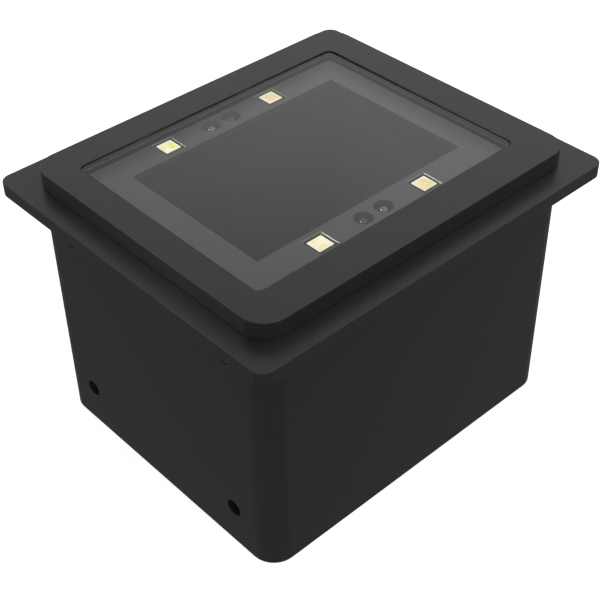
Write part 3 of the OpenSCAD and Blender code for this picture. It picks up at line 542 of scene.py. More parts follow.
def phosphor_silicone():
    """Phosphor in silicone: pale yellow, whiter towards the edges where the layer is thin, with clouds
    over the chips that are yellow on some lamps and peach on others. The sides and rounded rim are
    painted dark as painted shade, and the tile glows: painted light that makes it brighter."""
    material, tree, place = blank("silicone_phosphor_pale_yellow")
    clouds = add(tree, "ShaderNodeTexNoise", {"Vector": place, "Scale": per_metre(CLOUD), "Detail": 2.0})
    middle = add(tree, "ShaderNodeAttribute", attribute_name="tile_middle").outputs["Fac"]
    warm = add(tree, "ShaderNodeAttribute", attribute_name="tile_warmth").outputs["Fac"]
    chip = add(tree, "ShaderNodeMix", {FACTOR: warm, FIRST: linear("#f3e77a"), SECOND: linear("#e9b985")},
               data_type="RGBA")
    # top is nought on the sides and rounded rim, which are coloured dark there as painted shade
    top = add(tree, "ShaderNodeMapRange", {"Value": middle, "From Max": 0.01})
    cover = add(tree, "ShaderNodeMapRange", {"Value": clouds.outputs["Fac"], "From Min": 0.4,
                                             "From Max": 0.6})
    inner = add(tree, "ShaderNodeMapRange", {"Value": middle, "From Max": 0.45})
    share = add(tree, "ShaderNodeMath", {0: cover.outputs["Result"], 1: inner.outputs["Result"]},
                operation="MULTIPLY")
    depth = add(tree, "ShaderNodeMath", {0: warm, 1: inner.outputs["Result"]}, operation="MULTIPLY")
    bare = add(tree, "ShaderNodeMix", {
        FACTOR: depth.outputs[0], FIRST: linear("#fffbe0"), SECOND: linear("#ebcd96")},
        data_type="RGBA")
    face = add(tree, "ShaderNodeMix", {
        FACTOR: share.outputs[0], FIRST: bare.outputs[MIXED], SECOND: chip.outputs[MIXED]},
        data_type="RGBA")
    # Painted shade: the sides and rim take the dark #2b2a1e, and the top takes the phosphor's face
    colour = add(tree, "ShaderNodeMix", {
        FACTOR: top.outputs["Result"], FIRST: linear("#2b2a1e"), SECOND: face.outputs[MIXED]},
        data_type="RGBA")
    grain = add(tree, "ShaderNodeTexNoise", {"Vector": place, "Scale": per_metre(PHOSPHOR_GRAIN),
                                             "Detail": 1.0})
    lift = add(tree, "ShaderNodeBump", {"Height": grain.outputs["Fac"],
                                        "Distance": PHOSPHOR_GRAIN_DEPTH * MM})
    # The emission is painted light: it makes the tiles brighter than the room's light alone would
    shader = add(tree, "ShaderNodeBsdfPrincipled", {
        "Base Color": colour.outputs[MIXED], "Roughness": 0.35, "IOR": 1.41,
        "Normal": lift.outputs["Normal"],
        "Emission Color": colour.outputs[MIXED], "Emission Strength": 0.52})
    add(tree, "ShaderNodeOutputMaterial", {"Surface": shader.outputs["BSDF"]})
    return material


def glass_fibre_board():
    """Glass-fibre laminate under green solder mask: traces show as slightly paler raised lines through the
    mask, along the edges of cells."""
    material, tree, place = blank("glass_fibre_laminate_green_mask")
    cells = add(tree, "ShaderNodeTexVoronoi", {"Vector": place, "Scale": per_metre(TRACE_PITCH)},
                feature="DISTANCE_TO_EDGE")
    line = add(tree, "ShaderNodeMapRange", {
        "Value": cells.outputs["Distance"], "From Min": 0.05, "From Max": 0.08,
        "To Min": 1.0, "To Max": 0.0})
    colour = add(tree, "ShaderNodeMix", {
        FACTOR: line.outputs["Result"], FIRST: linear("#173a29"), SECOND: linear("#25543a")},
        data_type="RGBA")
    lift = add(tree, "ShaderNodeBump", {"Height": line.outputs["Result"], "Distance": TRACE_DEPTH * MM})
    shader = add(tree, "ShaderNodeBsdfPrincipled", {
        "Base Color": colour.outputs[MIXED], "Roughness": 0.3, "IOR": 1.55,
        "Normal": lift.outputs["Normal"]})
    add(tree, "ShaderNodeOutputMaterial", {"Surface": shader.outputs["BSDF"]})
    return material


def polyester_ribbon():
    """Polyester flat cable: milky film over tinned conductors that show as raised grey stripes, one in
    each wave across the ribbon."""
    material, tree, place = blank("polyester_flat_cable")
    scale = per_metre(CONDUCTOR_PITCH) * TEXTURE_WAVE
    stripes = add(tree, "ShaderNodeTexWave", {"Vector": place, "Scale": scale},
                  bands_direction="Y", wave_profile="SIN")
    line = add(tree, "ShaderNodeMapRange", {"Value": stripes.outputs["Fac"], "From Min": 0.45,
                                            "From Max": 0.6})
    colour = add(tree, "ShaderNodeMix", {
        FACTOR: line.outputs["Result"], FIRST: linear("#e9e6dd"), SECOND: linear("#b9bab8")},
        data_type="RGBA")
    lift = add(tree, "ShaderNodeBump", {"Height": line.outputs["Result"],
                                        "Distance": CONDUCTOR_DEPTH * MM})
    shader = add(tree, "ShaderNodeBsdfPrincipled", {
        "Base Color": colour.outputs[MIXED], "Roughness": 0.35, "IOR": 1.57,
        "Normal": lift.outputs["Normal"]})
    add(tree, "ShaderNodeOutputMaterial", {"Surface": shader.outputs["BSDF"]})
    return material


# Heights and plans that several pieces share
FLANGE_TOP = BOX["housing"][1][2]
FLANGE_LOW = FLANGE_TOP - FLANGE_T
CASE_TOP = BOX["front_bezel"][1][2]
PLATE_TOP = BOX["light_plate"][1][2]
FLANGE_PLAN = (*(BOX["housing"][1] - BOX["housing"][0])[:2], FLANGE_R)
BODY_PLAN = (*(BOX["front_bezel"][1] - BOX["front_bezel"][0])[:2], BODY_R)
INNER_PLAN = (BODY_PLAN[0] - 2 * WALL, BODY_PLAN[1] - 2 * WALL, BODY_R - WALL)
GLASS_MIDDLE = middle_of("window_glass")
GLASS_PLAN = (*(BOX["window_glass"][1] - BOX["window_glass"][0])[:2], WINDOW_R - GLASS_GAP, *GLASS_MIDDLE)
WINDOW_PLAN = (GLASS_PLAN[0] + 2 * GLASS_GAP, GLASS_PLAN[1] + 2 * GLASS_GAP, WINDOW_R,
               *(GLASS_MIDDLE + FRAME_SHIFT))
WELL_PLAN = (LAMP + 2 * WELL_GAP, LAMP + 2 * WELL_GAP, FINE_EDGE)
LEDGE_TOP = BOX["front_bezel"][0][2] - BOSS_GAP
LEDGE_LOW = LEDGE_TOP - LEDGE_T
BEZEL_SCREWS = mirrored(*(BOX["bezel_screws"][1][:2] - HEAD_D / 2))
COVER_SCREWS = mirrored(*(BOX["bottom_cover_screws"][1][:2] - HEAD_D / 2))


def flared(plan, edge, low, top):
    """Rows of a cutter whose mouth at the top widens by a quarter circle, which leaves a rounded edge."""
    gone, rise = quarter(edge)
    return profile((plan, 0, low), (plan, -rise, top - gone), (plan, -edge, top + OVER))


# Case

def at_side_holes(grid):
    """A grid at every side hole of both ends, with its Z pointing into the case."""
    laid = []
    for name in ("side_holes_near", "side_holes_far"):
        mount = MOUNTS[name]
        middle = np.array(mount["pos_m"]) / MM
        inwards = -np.array(mount["axis"], float)
        for y, z in mirrored(mount["dims"]["spacing_x_mm"] / 2, mount["dims"]["spacing_y_mm"] / 2):
            laid.append(stood(grid, middle + (0, y, z), inwards))
    return laid


def side_holes():
    """Cutters of the tapped side holes: a lead-in cone, then the threaded core."""
    core = MOUNTS["side_holes_near"]["dims"]["hole_r_mm"]
    height, radius = thread(core, HOLE_PITCH, HOLE_PLAIN, HOLE_DEPTH)
    mouth = np.repeat([[core + HOLE_LEAD], [core + HOLE_LEAD], [core]], TURN_STEPS, axis=1)
    heights = np.concatenate([[-OVER, 0, HOLE_LEAD], height])
    return at_side_holes(turned(np.concatenate([mouth, radius]), heights))


def side_bosses():
    """Round bosses behind the side holes."""
    return at_side_holes(turned([HOLE_BOSS_D / 2] * 2, [WALL / 2, WALL + HOLE_BOSS_L]))


def housing_shell():
    """Box with its flange: one closed profile carried round the plan, up the outside, round the flange's
    edge and down the inside over the ledge. Lugs, pillars, bosses, holes and the cut-out are carved."""
    gone, rise = quarter(EDGE)
    crease_gone, crease_rise = quarter(CREASE)
    rows = profile(
        (BODY_PLAN, gone, rise),
        (BODY_PLAN, -crease_rise, FLANGE_LOW - crease_gone),
        (FLANGE_PLAN, gone, FLANGE_LOW + rise),
        (FLANGE_PLAN, rise, FLANGE_TOP - gone),
        (INNER_PLAN, 0, [FLANGE_TOP, LEDGE_TOP]),
        (INNER_PLAN, LEDGE_W, [LEDGE_TOP, LEDGE_LOW]),
        (INNER_PLAN, 0, [LEDGE_LOW, SEAM_EDGE]),
        (INNER_PLAN, -SEAM_EDGE, 0))
    lugs = posts(BEZEL_SCREWS, LEDGE_LOW, LEDGE_TOP, LUG_D)
    pillars = posts(COVER_SCREWS, COVER_T, COVER_T + PILLAR_H, PILLAR_D)
    wall_y = INNER_PLAN[1] / 2 + WALL / 2
    ribs = [block((x - PILLAR_RIB_T / 2, min(y, math.copysign(wall_y, y)), COVER_T),
                  (x + PILLAR_RIB_T / 2, max(y, math.copysign(wall_y, y)), COVER_T + PILLAR_H))
            for x, y in COVER_SCREWS]
    lug_holes = posts(BEZEL_SCREWS, LEDGE_LOW - OVER, LEDGE_TOP + OVER, SCREW_HOLE_D)
    head_low = BOX["bezel_screws"][0][2] - HEAD_PLAY
    heads = posts(BEZEL_SCREWS, head_low, LEDGE_LOW, HEAD_D + 2 * HEAD_PLAY)
    pillar_holes = posts(COVER_SCREWS, 0, BOX["bottom_cover_screws"][1][2], SCREW_HOLE_D)
    plug_top = PLUG_LOW + PLUG_H
    cut_plan = (PLUG_W + 2 * CUTOUT_MARGIN, plug_top - LATCH_LOW + 2 * CUTOUT_MARGIN, CUTOUT_MARGIN)
    cut_out = stood(moulding(flared(cut_plan, EDGE, -WALL - OVER, 0)),
                    (BODY_PLAN[0] / 2, 0, (plug_top + LATCH_LOW) / 2), (1, 0, 0))
    piece = piece_of("housing_shell", moulding(rows), closed=True)
    carve(piece, ("UNION", lugs + pillars + side_bosses()), ("UNION", ribs),
          ("DIFFERENCE", lug_holes + pillar_holes + side_holes() + [cut_out]), ("DIFFERENCE", heads))
    hand_over(piece, CASE_ABS, "moulded_black", "housing")


def bezel_frame():
    """Raised frame: one closed profile carried round the plan, up the outside, over the top, down the
    window's edge and back under the frame. Screw bosses are carved."""
    gone, rise = quarter(EDGE)
    seam_gone, seam_rise = quarter(SEAM_EDGE)
    lip_gone, lip_rise = quarter(LIP_EDGE)
    rows = profile(
        (BODY_PLAN, seam_gone, FLANGE_TOP + seam_rise),
        (BODY_PLAN, rise, CASE_TOP - gone),
        (WINDOW_PLAN, -lip_gone, CASE_TOP - lip_rise),
        (WINDOW_PLAN, 0, PLATE_TOP),
        (INNER_PLAN, 0, [PLATE_TOP, FLANGE_TOP]))
    bosses = posts(BEZEL_SCREWS, BOX["front_bezel"][0][2], PLATE_TOP + WALL / 4, BOSS_D)
    holes = posts(BEZEL_SCREWS, LEDGE_LOW, BOX["bezel_screws"][1][2], SCREW_HOLE_D)
    piece = piece_of("bezel_frame", moulding(rows), closed=True)
    carve(piece, ("UNION", bosses), ("DIFFERENCE", holes))
    hand_over(piece, CASE_ABS, "moulded_black", "front_bezel")


def base_cover():
    """Plate that closes the base: a slab with rounded edges, standoffs inside, countersinks for its screws
    and a shallow bare recess."""
    low, high = BOX["bottom_cover"]
    slab = soft_block(low, (high[0], high[1], COVER_T), COVER_R, SEAM_EDGE)
    board_screws = mirrored(STANDOFF_X, STANDOFF_Y)
    standoffs = posts(board_screws, COVER_T / 2, high[2], STANDOFF_D)
    screw_r = SCREW_HOLE_D / 2
    sink = turned([SINK_D / 2, SINK_D / 2, screw_r, screw_r], [-OVER, 0, HEAD_H, COVER_T + OVER])
    sinks = [stood(sink, (x, y, 0)) for x, y in COVER_SCREWS]
    holes = posts(board_screws, COVER_T, high[2] + OVER, BOARD_HOLE_D)
    gone, rise = quarter(LABEL_DEPTH / 2)
    plan = (LABEL_L, LABEL_W, LABEL_R)
    recess = moulding(profile((plan, 0, -OVER), (plan, rise, LABEL_DEPTH - gone)))
    piece = piece_of("base_cover", slab)
    carve(piece, ("UNION", standoffs), ("DIFFERENCE", sinks + holes + [recess]))
    hand_over(piece, CASE_ABS, "moulded_black", "bottom_cover")


def cover_screws():
    """Countersunk screws: a turned head and threaded shank, with a tapered cross recess cut into each
    head. Each stops at its own angle, as screws do."""
    top = BOX["bottom_cover_screws"][1][2]
    height, shank = thread(SHANK_D / 2 - THREAD_DEPTH * SCREW_PITCH, SCREW_PITCH, HEAD_H, top)
    rim = HEAD_D / 2 - FINE_EDGE
    head = np.repeat([[rim], [HEAD_D / 2], [rim]], TURN_STEPS, axis=1)
    grid = turned(np.concatenate([head, shank]), np.concatenate([[0, FINE_EDGE, 2 * FINE_EDGE], height]))
    span = (CROSS_SPAN, CROSS_ARM, FINE_EDGE)
    blade = moulding(profile((span, 0, [-OVER, 0]), (span, CROSS_ARM / 4, CROSS_DEPTH)))
    stops = [((x, y, 0), turn) for (x, y), turn in zip(COVER_SCREWS, SCREW_TURNS)]
    piece = piece_of("cover_screws", *[stood(grid, place, turn=turn) for place, turn in stops])
    for quarter_turn in (0, math.pi / 2):
        blades = [stood(blade, place, turn=turn + quarter_turn) for place, turn in stops]
        carve(piece, ("DIFFERENCE", blades))
    hand_over(piece, SCREW_BLACK, "screw_black", "bottom_cover_screws")


# Window and what lies under it

def window_pane():
    """Glass slab with bevelled edges. Light passes it freely, so it casts no shadow and only the camera's
    rays bend in it."""
    low = BOX["window_glass"][0][2]
    high = BOX["window_glass"][1][2] + GLASS_RISE
    rows = profile((GLASS_PLAN, [GLASS_BEVEL, 0], [low, low + GLASS_BEVEL]),
                   (GLASS_PLAN, [0, GLASS_EDGE], [high - GLASS_EDGE, high]))
    piece = piece_of("window_pane", moulding(rows))
    hand_over(piece, WINDOW_GLASS, "window_glass", "window_glass")
    hide_from(piece, "shadow", "diffuse", "glossy")


def tape_ring():
    """Flat ring of tape under the rim of the glass."""
    low, high = BOX["window_tape"]
    rows = profile((GLASS_PLAN, 0, [low[2], high[2]]), (GLASS_PLAN, TAPE_W, [high[2], low[2]]))
    piece = piece_of("tape_ring", moulding(rows), closed=True)
    hand_over(piece, TAPE_FOAM, "tape_black", "window_tape")


def lamp_places():
    """Middles of the four white lamps."""
    low, high = BOX["lamp_bases"]
    x = (low[0] + LAMP / 2, high[0] - LAMP / 2)
    y = (low[1] + LAMP / 2, high[1] - LAMP / 2)
    return [(i, j) for i in x for j in y]


def sensor_places(node):
    """Middles of the two sensors of a node, which stand in two opposite corners of their box: the
    receivers in the lowest and the highest, and the emitters in the other two."""
    low = BOX[node][0] + SENSOR_D / 2
    high = BOX[node][1] - SENSOR_D / 2
    if node == "infrared_receivers":
        return [(low[0], low[1]), (high[0], high[1])]
    return [(low[0], high[1]), (high[0], low[1])]


def plate_with_wells():
    """Plate round the view opening: a slab with notched corners and feet. The openings for the camera and
    the sensors are cut with mouths that widen by a quarter circle, so their edges are round, and the wells
    of the lamps with mouths that slope."""
    low, high = BOX["light_plate"]
    plate_low = PLATE_TOP - PLATE_T
    slab = soft_block((low[0], low[1], plate_low), high, FINE_EDGE, FINE_EDGE)
    notch = BOX["bezel_screws"][1] - (HEAD_D + BOSS_D) / 2 - BOSS_GAP
    size = (2 * (high[0] - notch[0]), 2 * (high[1] - notch[1]), SHARP)
    rows = profile((size, 0, [plate_low - OVER, PLATE_TOP + OVER]))
    notches = [moulding(rows, place) for place in mirrored(high[0], high[1])]
    foot_top = plate_low + PLATE_T / 2
    feet = [block((-FOOT_LONG / 2, y, low[2]), (FOOT_LONG / 2, y + FOOT_W, foot_top))
            for y in (low[1], high[1] - FOOT_W)]
    feet += [block((x, -FOOT_SHORT / 2, low[2]), (x + FOOT_W, FOOT_SHORT / 2, foot_top))
             for x in (low[0], high[0] - FOOT_W)]
    view_plan = (VIEW_L, VIEW_W, VIEW_EDGE)
    view = moulding(flared(view_plan, VIEW_EDGE, plate_low - OVER, PLATE_TOP), GLASS_MIDDLE)
    well = profile((WELL_PLAN, 0, [plate_low - OVER, PLATE_TOP - STRIP_H]),
                   (WELL_PLAN, -STRIP_SLOPE, [PLATE_TOP, PLATE_TOP + OVER]))
    wells = [moulding(well, place) for place in lamp_places()]
    gone, rise = quarter(SENSOR_EDGE)
    radius = np.concatenate([[0], rise, [SENSOR_EDGE]]) + SENSOR_HOLE_D / 2
    round_hole = turned(radius, np.concatenate([[plate_low - OVER], PLATE_TOP - gone, [PLATE_TOP + OVER]]))
    places = sensor_places("infrared_emitters") + sensor_places("infrared_receivers")
    holes = [stood(round_hole, (x, y, 0)) for x, y in places]
    piece = piece_of("plate_with_wells", slab)
    carve(piece, ("UNION", feet), ("DIFFERENCE", notches + [view] + wells + holes))
    hand_over(piece, PLATE_PC, "plate_grey", "light_plate")


def well_strips():
    """Bright strips on the sloped mouths of the lamps' wells: a full strip at both ends of each and a
    narrow one along its back. Each is a thin flat bar whose upper end leans outwards with the slope."""
    inside = (WELL_PLAN[0] - STRIP_T) / 2
    length = WELL_PLAN[1] - 2 * STRIP_T
    strips = []
    for turn, share in ((0, 1.0), (math.pi, 1.0), (math.pi / 2, STRIP_BACK)):
        foot = (STRIP_T, length, SHARP, inside + STRIP_SLOPE * (1 - share))
        head = (STRIP_T, length, SHARP, inside + STRIP_SLOPE)
        bar = moulding(profile((foot, 0, PLATE_TOP - STRIP_H * share), (head, 0, PLATE_TOP)))
        strips += [stood(bar, (x, y, 0), turn=turn) for x, y in lamp_places()]
    hand_over(piece_of("well_strips", *strips), STRIP_NICKEL, "can_metal", "light_plate")


def lamp_blocks():
    """Dark bodies of the lamps: the sides rise to a rounded rim, which falls to a shallow pocket."""
    low, high = BOX["lamp_bases"]
    body = (LAMP, LAMP, FINE_EDGE)
    pocket = (TILE, TILE, TILE_R)
    gone, rise = quarter(FINE_EDGE / 2)
    pocket_low = BOX["lamp_phosphors"][0][2]
    rows = profile((body, 0, low[2]), (body, rise, high[2] - gone), (pocket, 0, [high[2], pocket_low]))
    piece = piece_of("lamp_blocks", *[moulding(rows, place) for place in lamp_places()])
    hand_over(piece, LAMP_EPOXY, "lamp_body", "lamp_bases")


def phosphor_tiles():
    """Phosphor tiles: the sides rise straight, the edge is a quarter circle, and the top is a shallow
    crown, which falls short of its height by the square of the way left to the middle. Attributes say how
    far in a point lies, and how warm each tile looks."""
    low, high = BOX["lamp_phosphors"]
    side = TILE - 2 * TILE_PLAY
    plan = (side, side, TILE_R)
    gone, rise = quarter(TILE_EDGE)
    way_in = np.linspace(0, 1, TILE_RINGS)[1:]
    inset = TILE_EDGE + way_in * (side / 2 - TILE_EDGE - SHARP)
    shoulder = high[2] - TILE_CROWN
    crown = shoulder + TILE_CROWN * (1 - (1 - way_in) ** 2)
    rows = profile((plan, 0, low[2]), (plan, rise, shoulder - gone), (plan, inset, crown))
    middle = np.concatenate([np.zeros(len(rows) - len(way_in)), way_in])
    middle = np.repeat(middle, 4 * (CORNER_STEPS + 1))
    piece = piece_of("phosphor_tiles", *[moulding(rows, place) for place in lamp_places()])
    for name, values in (("tile_middle", np.tile(middle, len(TILE_WARMTH))),
                         ("tile_warmth", np.repeat(TILE_WARMTH, len(middle)))):
        attribute = piece.data.attributes.new(name, "FLOAT", "POINT")
        attribute.data.foreach_set("value", values.astype(np.float32))
    hand_over(piece, phosphor_silicone(), "lamp_phosphor", "lamp_phosphors")


def sensor_domes(name, finish, slot, node):
    """Domed sensors: a turned foot with a rounded rim, then a half sphere."""
    low = BOX[node][0]
    foot_top = low[2] + SENSOR_FOOT_H
    gone, rise = quarter(FINE_EDGE)
    turn = np.linspace(0, math.pi / 2, 2 * EDGE_STEPS + 1)[:-1]
    radius = np.concatenate([[SENSOR_D / 2], SENSOR_D / 2 - rise, DOME_R * np.cos(turn), [SHARP]])
    height = np.concatenate([[low[2]], foot_top - gone,
                             foot_top + DOME_R * np.sin(turn), [foot_top + DOME_R]])
    domes = [stood(turned(radius, height), (x, y, 0)) for x, y in sensor_places(node)]
    hand_over(piece_of(name, *domes), finish, slot, node)


# Lens at the bottom of the light well

def lens_mount():
    """Lens barrel, turned: a threaded body, a head with ring grooves on its face, a seat for each lens and
    the aperture between them."""
    low, high = BOX["lens_barrel"]
    front_seat = BOX["front_lens"][0][2]
    rear_seat = BOX["rear_lens"][1][2]
    head_low = high[2] - BARREL_HEAD_H
    height, body = thread(BARREL_THREAD_R - THREAD_DEPTH * LENS_PITCH, LENS_PITCH, low[2], head_low)
    head_r = (high - low)[0] / 2
    front_r = (BOX["front_lens"][1] - BOX["front_lens"][0])[0] / 2 + LENS_PLAY
    rear_r = (BOX["rear_lens"][1] - BOX["rear_lens"][0])[0] / 2 + LENS_PLAY
    gone, rise = quarter(FINE_EDGE)
    face = np.linspace(head_r - FINE_EDGE, front_r, 2 * BARREL_GROOVES + 2)[1:]
    groove = np.where(np.arange(len(face)) % 2, BARREL_GROOVE, 0.0)
    groove[-1] = 0.0
    head = np.concatenate([[head_r], head_r - rise, face,
                           [front_r, APERTURE_R, APERTURE_R, rear_r, rear_r]])
    radius = np.concatenate([body, np.repeat(head[:, None], TURN_STEPS, axis=1)])
    heights = np.concatenate([height, [head_low], high[2] - gone, high[2] - groove,
                              [front_seat, front_seat, rear_seat, rear_seat, low[2]]])
    place = (*middle_of("lens_barrel"), 0)
    piece = piece_of("lens_mount", stood(turned(radius, heights), place), closed=True)
    hand_over(piece, BARREL_BLACK, "barrel_black", "lens_barrel")


def front_glass():
    """Front lens, turned: a flat side, a straight rim and a dome that is part of a sphere."""
    low, high = BOX["front_lens"]
    rim_r = (high - low)[0] / 2
    sphere_r = (rim_r ** 2 + LENS_DOME ** 2) / (2 * LENS_DOME)
    turn = np.linspace(math.asin(rim_r / sphere_r), 0, 4 * EDGE_STEPS)
    radius = np.concatenate([[rim_r], np.maximum(sphere_r * np.sin(turn), SHARP)])
    height = np.concatenate([[low[2]], high[2] - sphere_r * (1 - np.cos(turn))])
    piece = piece_of("front_glass", stood(turned(radius, height), (*middle_of("front_lens"), 0)))
    hand_over(piece, LENS_GLASS, "lens_glass", "front_lens")
    hide_from(piece, "shadow")


# Cable socket

def plug_socket():
    """Modular socket: a block with rounded edges, a plug's way whose mouth widens by a quarter circle, and
    its latch groove."""
    low, high = BOX["cable_socket"]
    shell = soft_block(low, high, SOCKET_EDGE, SOCKET_EDGE)
    way = stood(moulding(flared((PLUG_W, PLUG_H, FINE_EDGE), MOUTH_EDGE, -PLUG_DEPTH, 0)),
                (high[0], 0, PLUG_LOW + PLUG_H / 2), (1, 0, 0))
    groove = block((high[0] - PLUG_DEPTH, -LATCH_W / 2, LATCH_LOW),
                   (high[0] + OVER, LATCH_W / 2, PLUG_LOW + OVER))
    piece = piece_of("plug_socket", shell)
    carve(piece, ("DIFFERENCE", [way]), ("DIFFERENCE", [groove]))
    hand_over(piece, SOCKET_NYLON, "socket_black", "cable_socket")


def spring_contacts():
    """Contact springs: a rounded strip carried along a bow, whose height falls by half a sine from the
    roof of the plug's way and comes back. Its section is an ellipse, squared by a power."""
    low, high = BOX["socket_contacts"]
    along = np.linspace(0, 1, 4 * EDGE_STEPS + 1)
    x = low[0] + along * (high[0] - low[0])
    z = (low[2] + high[2]) / 2 - CONTACT_BOW * np.sin(math.pi * along)
    angle = np.arange(CONTACT_STEPS) * 2 * math.pi / CONTACT_STEPS
    round_y = CONTACT_W / 2 * np.sign(np.cos(angle)) * np.abs(np.cos(angle)) ** CONTACT_SQUARE
    round_z = (high[2] - low[2]) / 2 * np.sign(np.sin(angle)) * np.abs(np.sin(angle)) ** CONTACT_SQUARE
    places = (np.arange(CONTACTS) - (CONTACTS - 1) / 2) * CONTACT_PITCH
    strips = [np.stack(np.broadcast_arrays(x[:, None], y + round_y, z[:, None] + round_z), axis=-1)
              for y in places]
    hand_over(piece_of("spring_contacts", *strips), CONTACT_GOLD, "contact_gold", "socket_contacts")


housing_shell()
bezel_frame()
base_cover()
cover_screws()
window_pane()
tape_ring()
plate_with_wells()
well_strips()
lamp_blocks()
phosphor_tiles()
sensor_domes("emitter_domes", DOME_CLEAR, "dome_clear", "infrared_emitters")
sensor_domes("receiver_domes", DOME_DARK, "dome_dark", "infrared_receivers")
lens_mount()
front_glass()
plug_socket()
spring_contacts()

# Finishes of the CAD nodes that stay as they are
BOARD = glass_fibre_board()
RIBBON = polyester_ribbon()
KEPT = {
    "bezel_screws": SCREW_BLACK, "camera_screws": SCREW_STEEL, "main_board_screws": SCREW_STEEL,
    "light_shroud": SHROUD_ABS, "lens_holder": SHROUD_ABS,
    "image_sensor": CHIP_EPOXY, "processor": CHIP_EPOXY, "memory_chip": CHIP_EPOXY,
    "interface_chip": CHIP_EPOXY, "buzzer": CHIP_EPOXY,
    "image_sensor_glass": LENS_GLASS, "infrared_filter": LENS_GLASS, "rear_lens": LENS_GLASS,
    "capacitors": CAN_ALUMINIUM, "clock_crystal": CAN_ALUMINIUM, "power_inductor": FERRITE,
    "lamp_ribbon_socket": IVORY_NYLON, "camera_ribbon_socket": IVORY_NYLON,
    "board_ribbon_sockets": IVORY_NYLON, "camera_ribbon": RIBBON, "lamp_ribbon": RIBBON,
    "lamp_board": BOARD, "camera_board": BOARD, "main_board": BOARD,
}
for name, finish in KEPT.items():
    for place in frame["nodes"][name].material_slots:
        place.material = finish


# Floor, light and camera

def pale_floor():
    """Pale floor just under the base. It is a backdrop only: it neither lights nor darkens the object, and
    seen from below it isn't there."""
    half = FLOOR_SIZE / 2
    mesh = bpy.data.meshes.new("floor")
    corners = np.array([(-half, -half, 0), (half, -half, 0), (half, half, 0), (-half, half, 0)]) * MM
    mesh.from_pydata((corners - (0, 0, FLOOR_DROP * MM)).tolist(), [], [(0, 1, 2, 3)])
    floor = bpy.data.objects.new("floor", mesh)
    bpy.context.scene.collection.objects.link(floor)
    material = bpy.data.materials.new("paper_sweep_white")
    tree = emptied(material)
    paper = add(tree, "ShaderNodeBsdfPrincipled", {
        "Base Color": linear("#f4f4f4"), "Roughness": 0.9, "Specular IOR Level": 0.0,
        "Emission Color": linear("#ffffff"), "Emission Strength": FLOOR_GLOW})
    below = add(tree, "ShaderNodeNewGeometry").outputs["Backfacing"]
    clear = add(tree, "ShaderNodeBsdfTransparent")
    either = add(tree, "ShaderNodeMixShader", {
        0: below, 1: paper.outputs["BSDF"], 2: clear.outputs["BSDF"]})
    add(tree, "ShaderNodeOutputMaterial", {"Surface": either.outputs["Shader"]})
    mesh.materials.append(material)
    hide_from(floor, "diffuse", "glossy", "shadow")


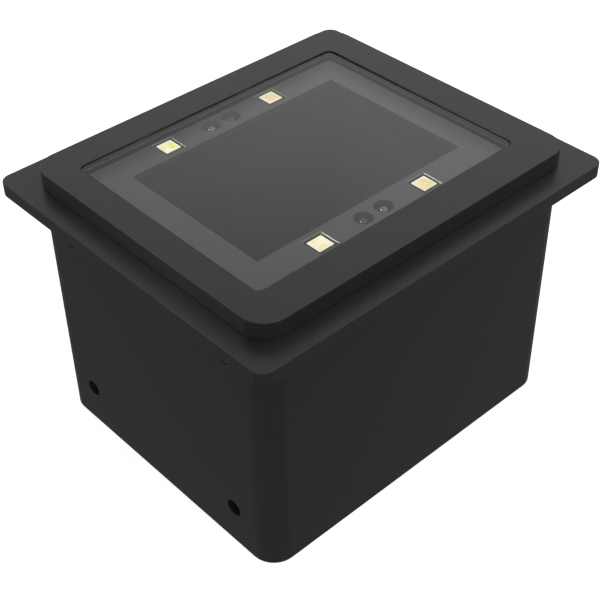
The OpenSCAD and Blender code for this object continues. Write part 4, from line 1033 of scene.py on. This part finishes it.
def studio_room():
    """Soft room light: its levels change with the elevation, and from the left of the camera to its right.
    A level stands on its ramp at a half plus its elevation over 180 degrees. The camera itself sees a
    plain pale wall."""
    world = bpy.data.worlds.new("studio")
    bpy.context.scene.world = world
    tree = emptied(world)
    direction = add(tree, "ShaderNodeTexCoord").outputs["Generated"]
    height = add(tree, "ShaderNodeSeparateXYZ", {"Vector": direction}).outputs["Z"]
    rise = add(tree, "ShaderNodeMath", {0: height}, operation="ARCSINE")
    level = add(tree, "ShaderNodeMapRange", {"Value": rise.outputs[0], "From Min": -math.pi / 2,
                                             "From Max": math.pi / 2})
    flat = add(tree, "ShaderNodeVectorMath", {0: direction, 1: (1, 1, 0)}, operation="MULTIPLY")
    flat = add(tree, "ShaderNodeVectorMath", {0: flat.outputs["Vector"]}, operation="NORMALIZE")
    across = add(tree, "ShaderNodeVectorMath", {0: flat.outputs["Vector"], 1: ROOM_LEFT},
                 operation="DOT_PRODUCT")
    left = add(tree, "ShaderNodeMapRange", {"Value": across.outputs["Value"], "From Min": -1.0})
    ramps = []
    for levels in (ROOM_RIGHT_LEVELS, ROOM_LEFT_LEVELS):
        ramp = add(tree, "ShaderNodeValToRGB", {"Fac": level.outputs["Result"]})
        stops = ramp.color_ramp.elements
        while len(stops) < len(levels):
            stops.new(0.5)
        for stop, elevation, value in zip(stops, ROOM_ELEVATIONS, levels):
            stop.position = 0.5 + elevation / 180
            stop.color = (value, value, value, 1.0)
        ramps.append(ramp.outputs["Color"])
    light = add(tree, "ShaderNodeMix", {FACTOR: left.outputs["Result"], FIRST: ramps[0], SECOND: ramps[1]},
                data_type="RGBA")
    room = add(tree, "ShaderNodeBackground", {"Color": light.outputs[MIXED]})
    wall = add(tree, "ShaderNodeBackground", {"Color": linear("#fafafa")})
    seen = add(tree, "ShaderNodeLightPath").outputs["Is Camera Ray"]
    both = add(tree, "ShaderNodeMixShader", {
        0: seen, 1: room.outputs["Background"], 2: wall.outputs["Background"]})
    add(tree, "ShaderNodeOutputWorld", {"Surface": both.outputs["Shader"]})


def glint_lamp():
    """Small square lamp with a narrow beam towards the window. It lights gloss only, and shows as a glint
    on the domes and strips."""
    light = bpy.data.lights.new("glint_lamp", "AREA")
    light.size = GLINT_SIZE * MM
    light.spread = math.radians(GLINT_SPREAD)
    light.energy = GLINT_POWER
    lamp = bpy.data.objects.new("glint_lamp", light)
    bpy.context.scene.collection.objects.link(lamp)
    hide_from(lamp, "camera", "diffuse")
    lamp.location = np.array(GLINT_PLACE) * MM
    lamp.rotation_mode = "QUATERNION"
    lamp.rotation_quaternion = Vector(np.subtract(GLINT_AIM, GLINT_PLACE)).to_track_quat("-Z", "Y")


def photo_camera():
    """Camera at the photograph's angle: it looks at the aim point from a turn, rise and roll."""
    turn, rise, roll = np.radians([CAMERA_TURN, CAMERA_RISE, CAMERA_ROLL])
    back = np.array([math.sin(turn) * math.cos(rise), -math.cos(turn) * math.cos(rise), math.sin(rise)])
    level = np.array([math.cos(turn), math.sin(turn), 0])
    upright = np.cross(back, level)
    right = level * math.cos(roll) + upright * math.sin(roll)
    up = upright * math.cos(roll) - level * math.sin(roll)
    place = np.array(CAMERA_AIM) + back * CAMERA_DISTANCE
    lens = bpy.data.cameras.new("camera")
    lens.lens = CAMERA_LENS
    lens.clip_start = CAMERA_NEAR * MM
    camera = bpy.data.objects.new("camera", lens)
    camera.matrix_world = Matrix(np.column_stack([right, up, back, place * MM]).tolist() + [[0, 0, 0, 1]])
    bpy.context.scene.collection.objects.link(camera)
    bpy.context.scene.camera = camera


pale_floor()
studio_room()
glint_lamp()
photo_camera()
bpy.context.scene.view_settings.view_transform = "Standard"
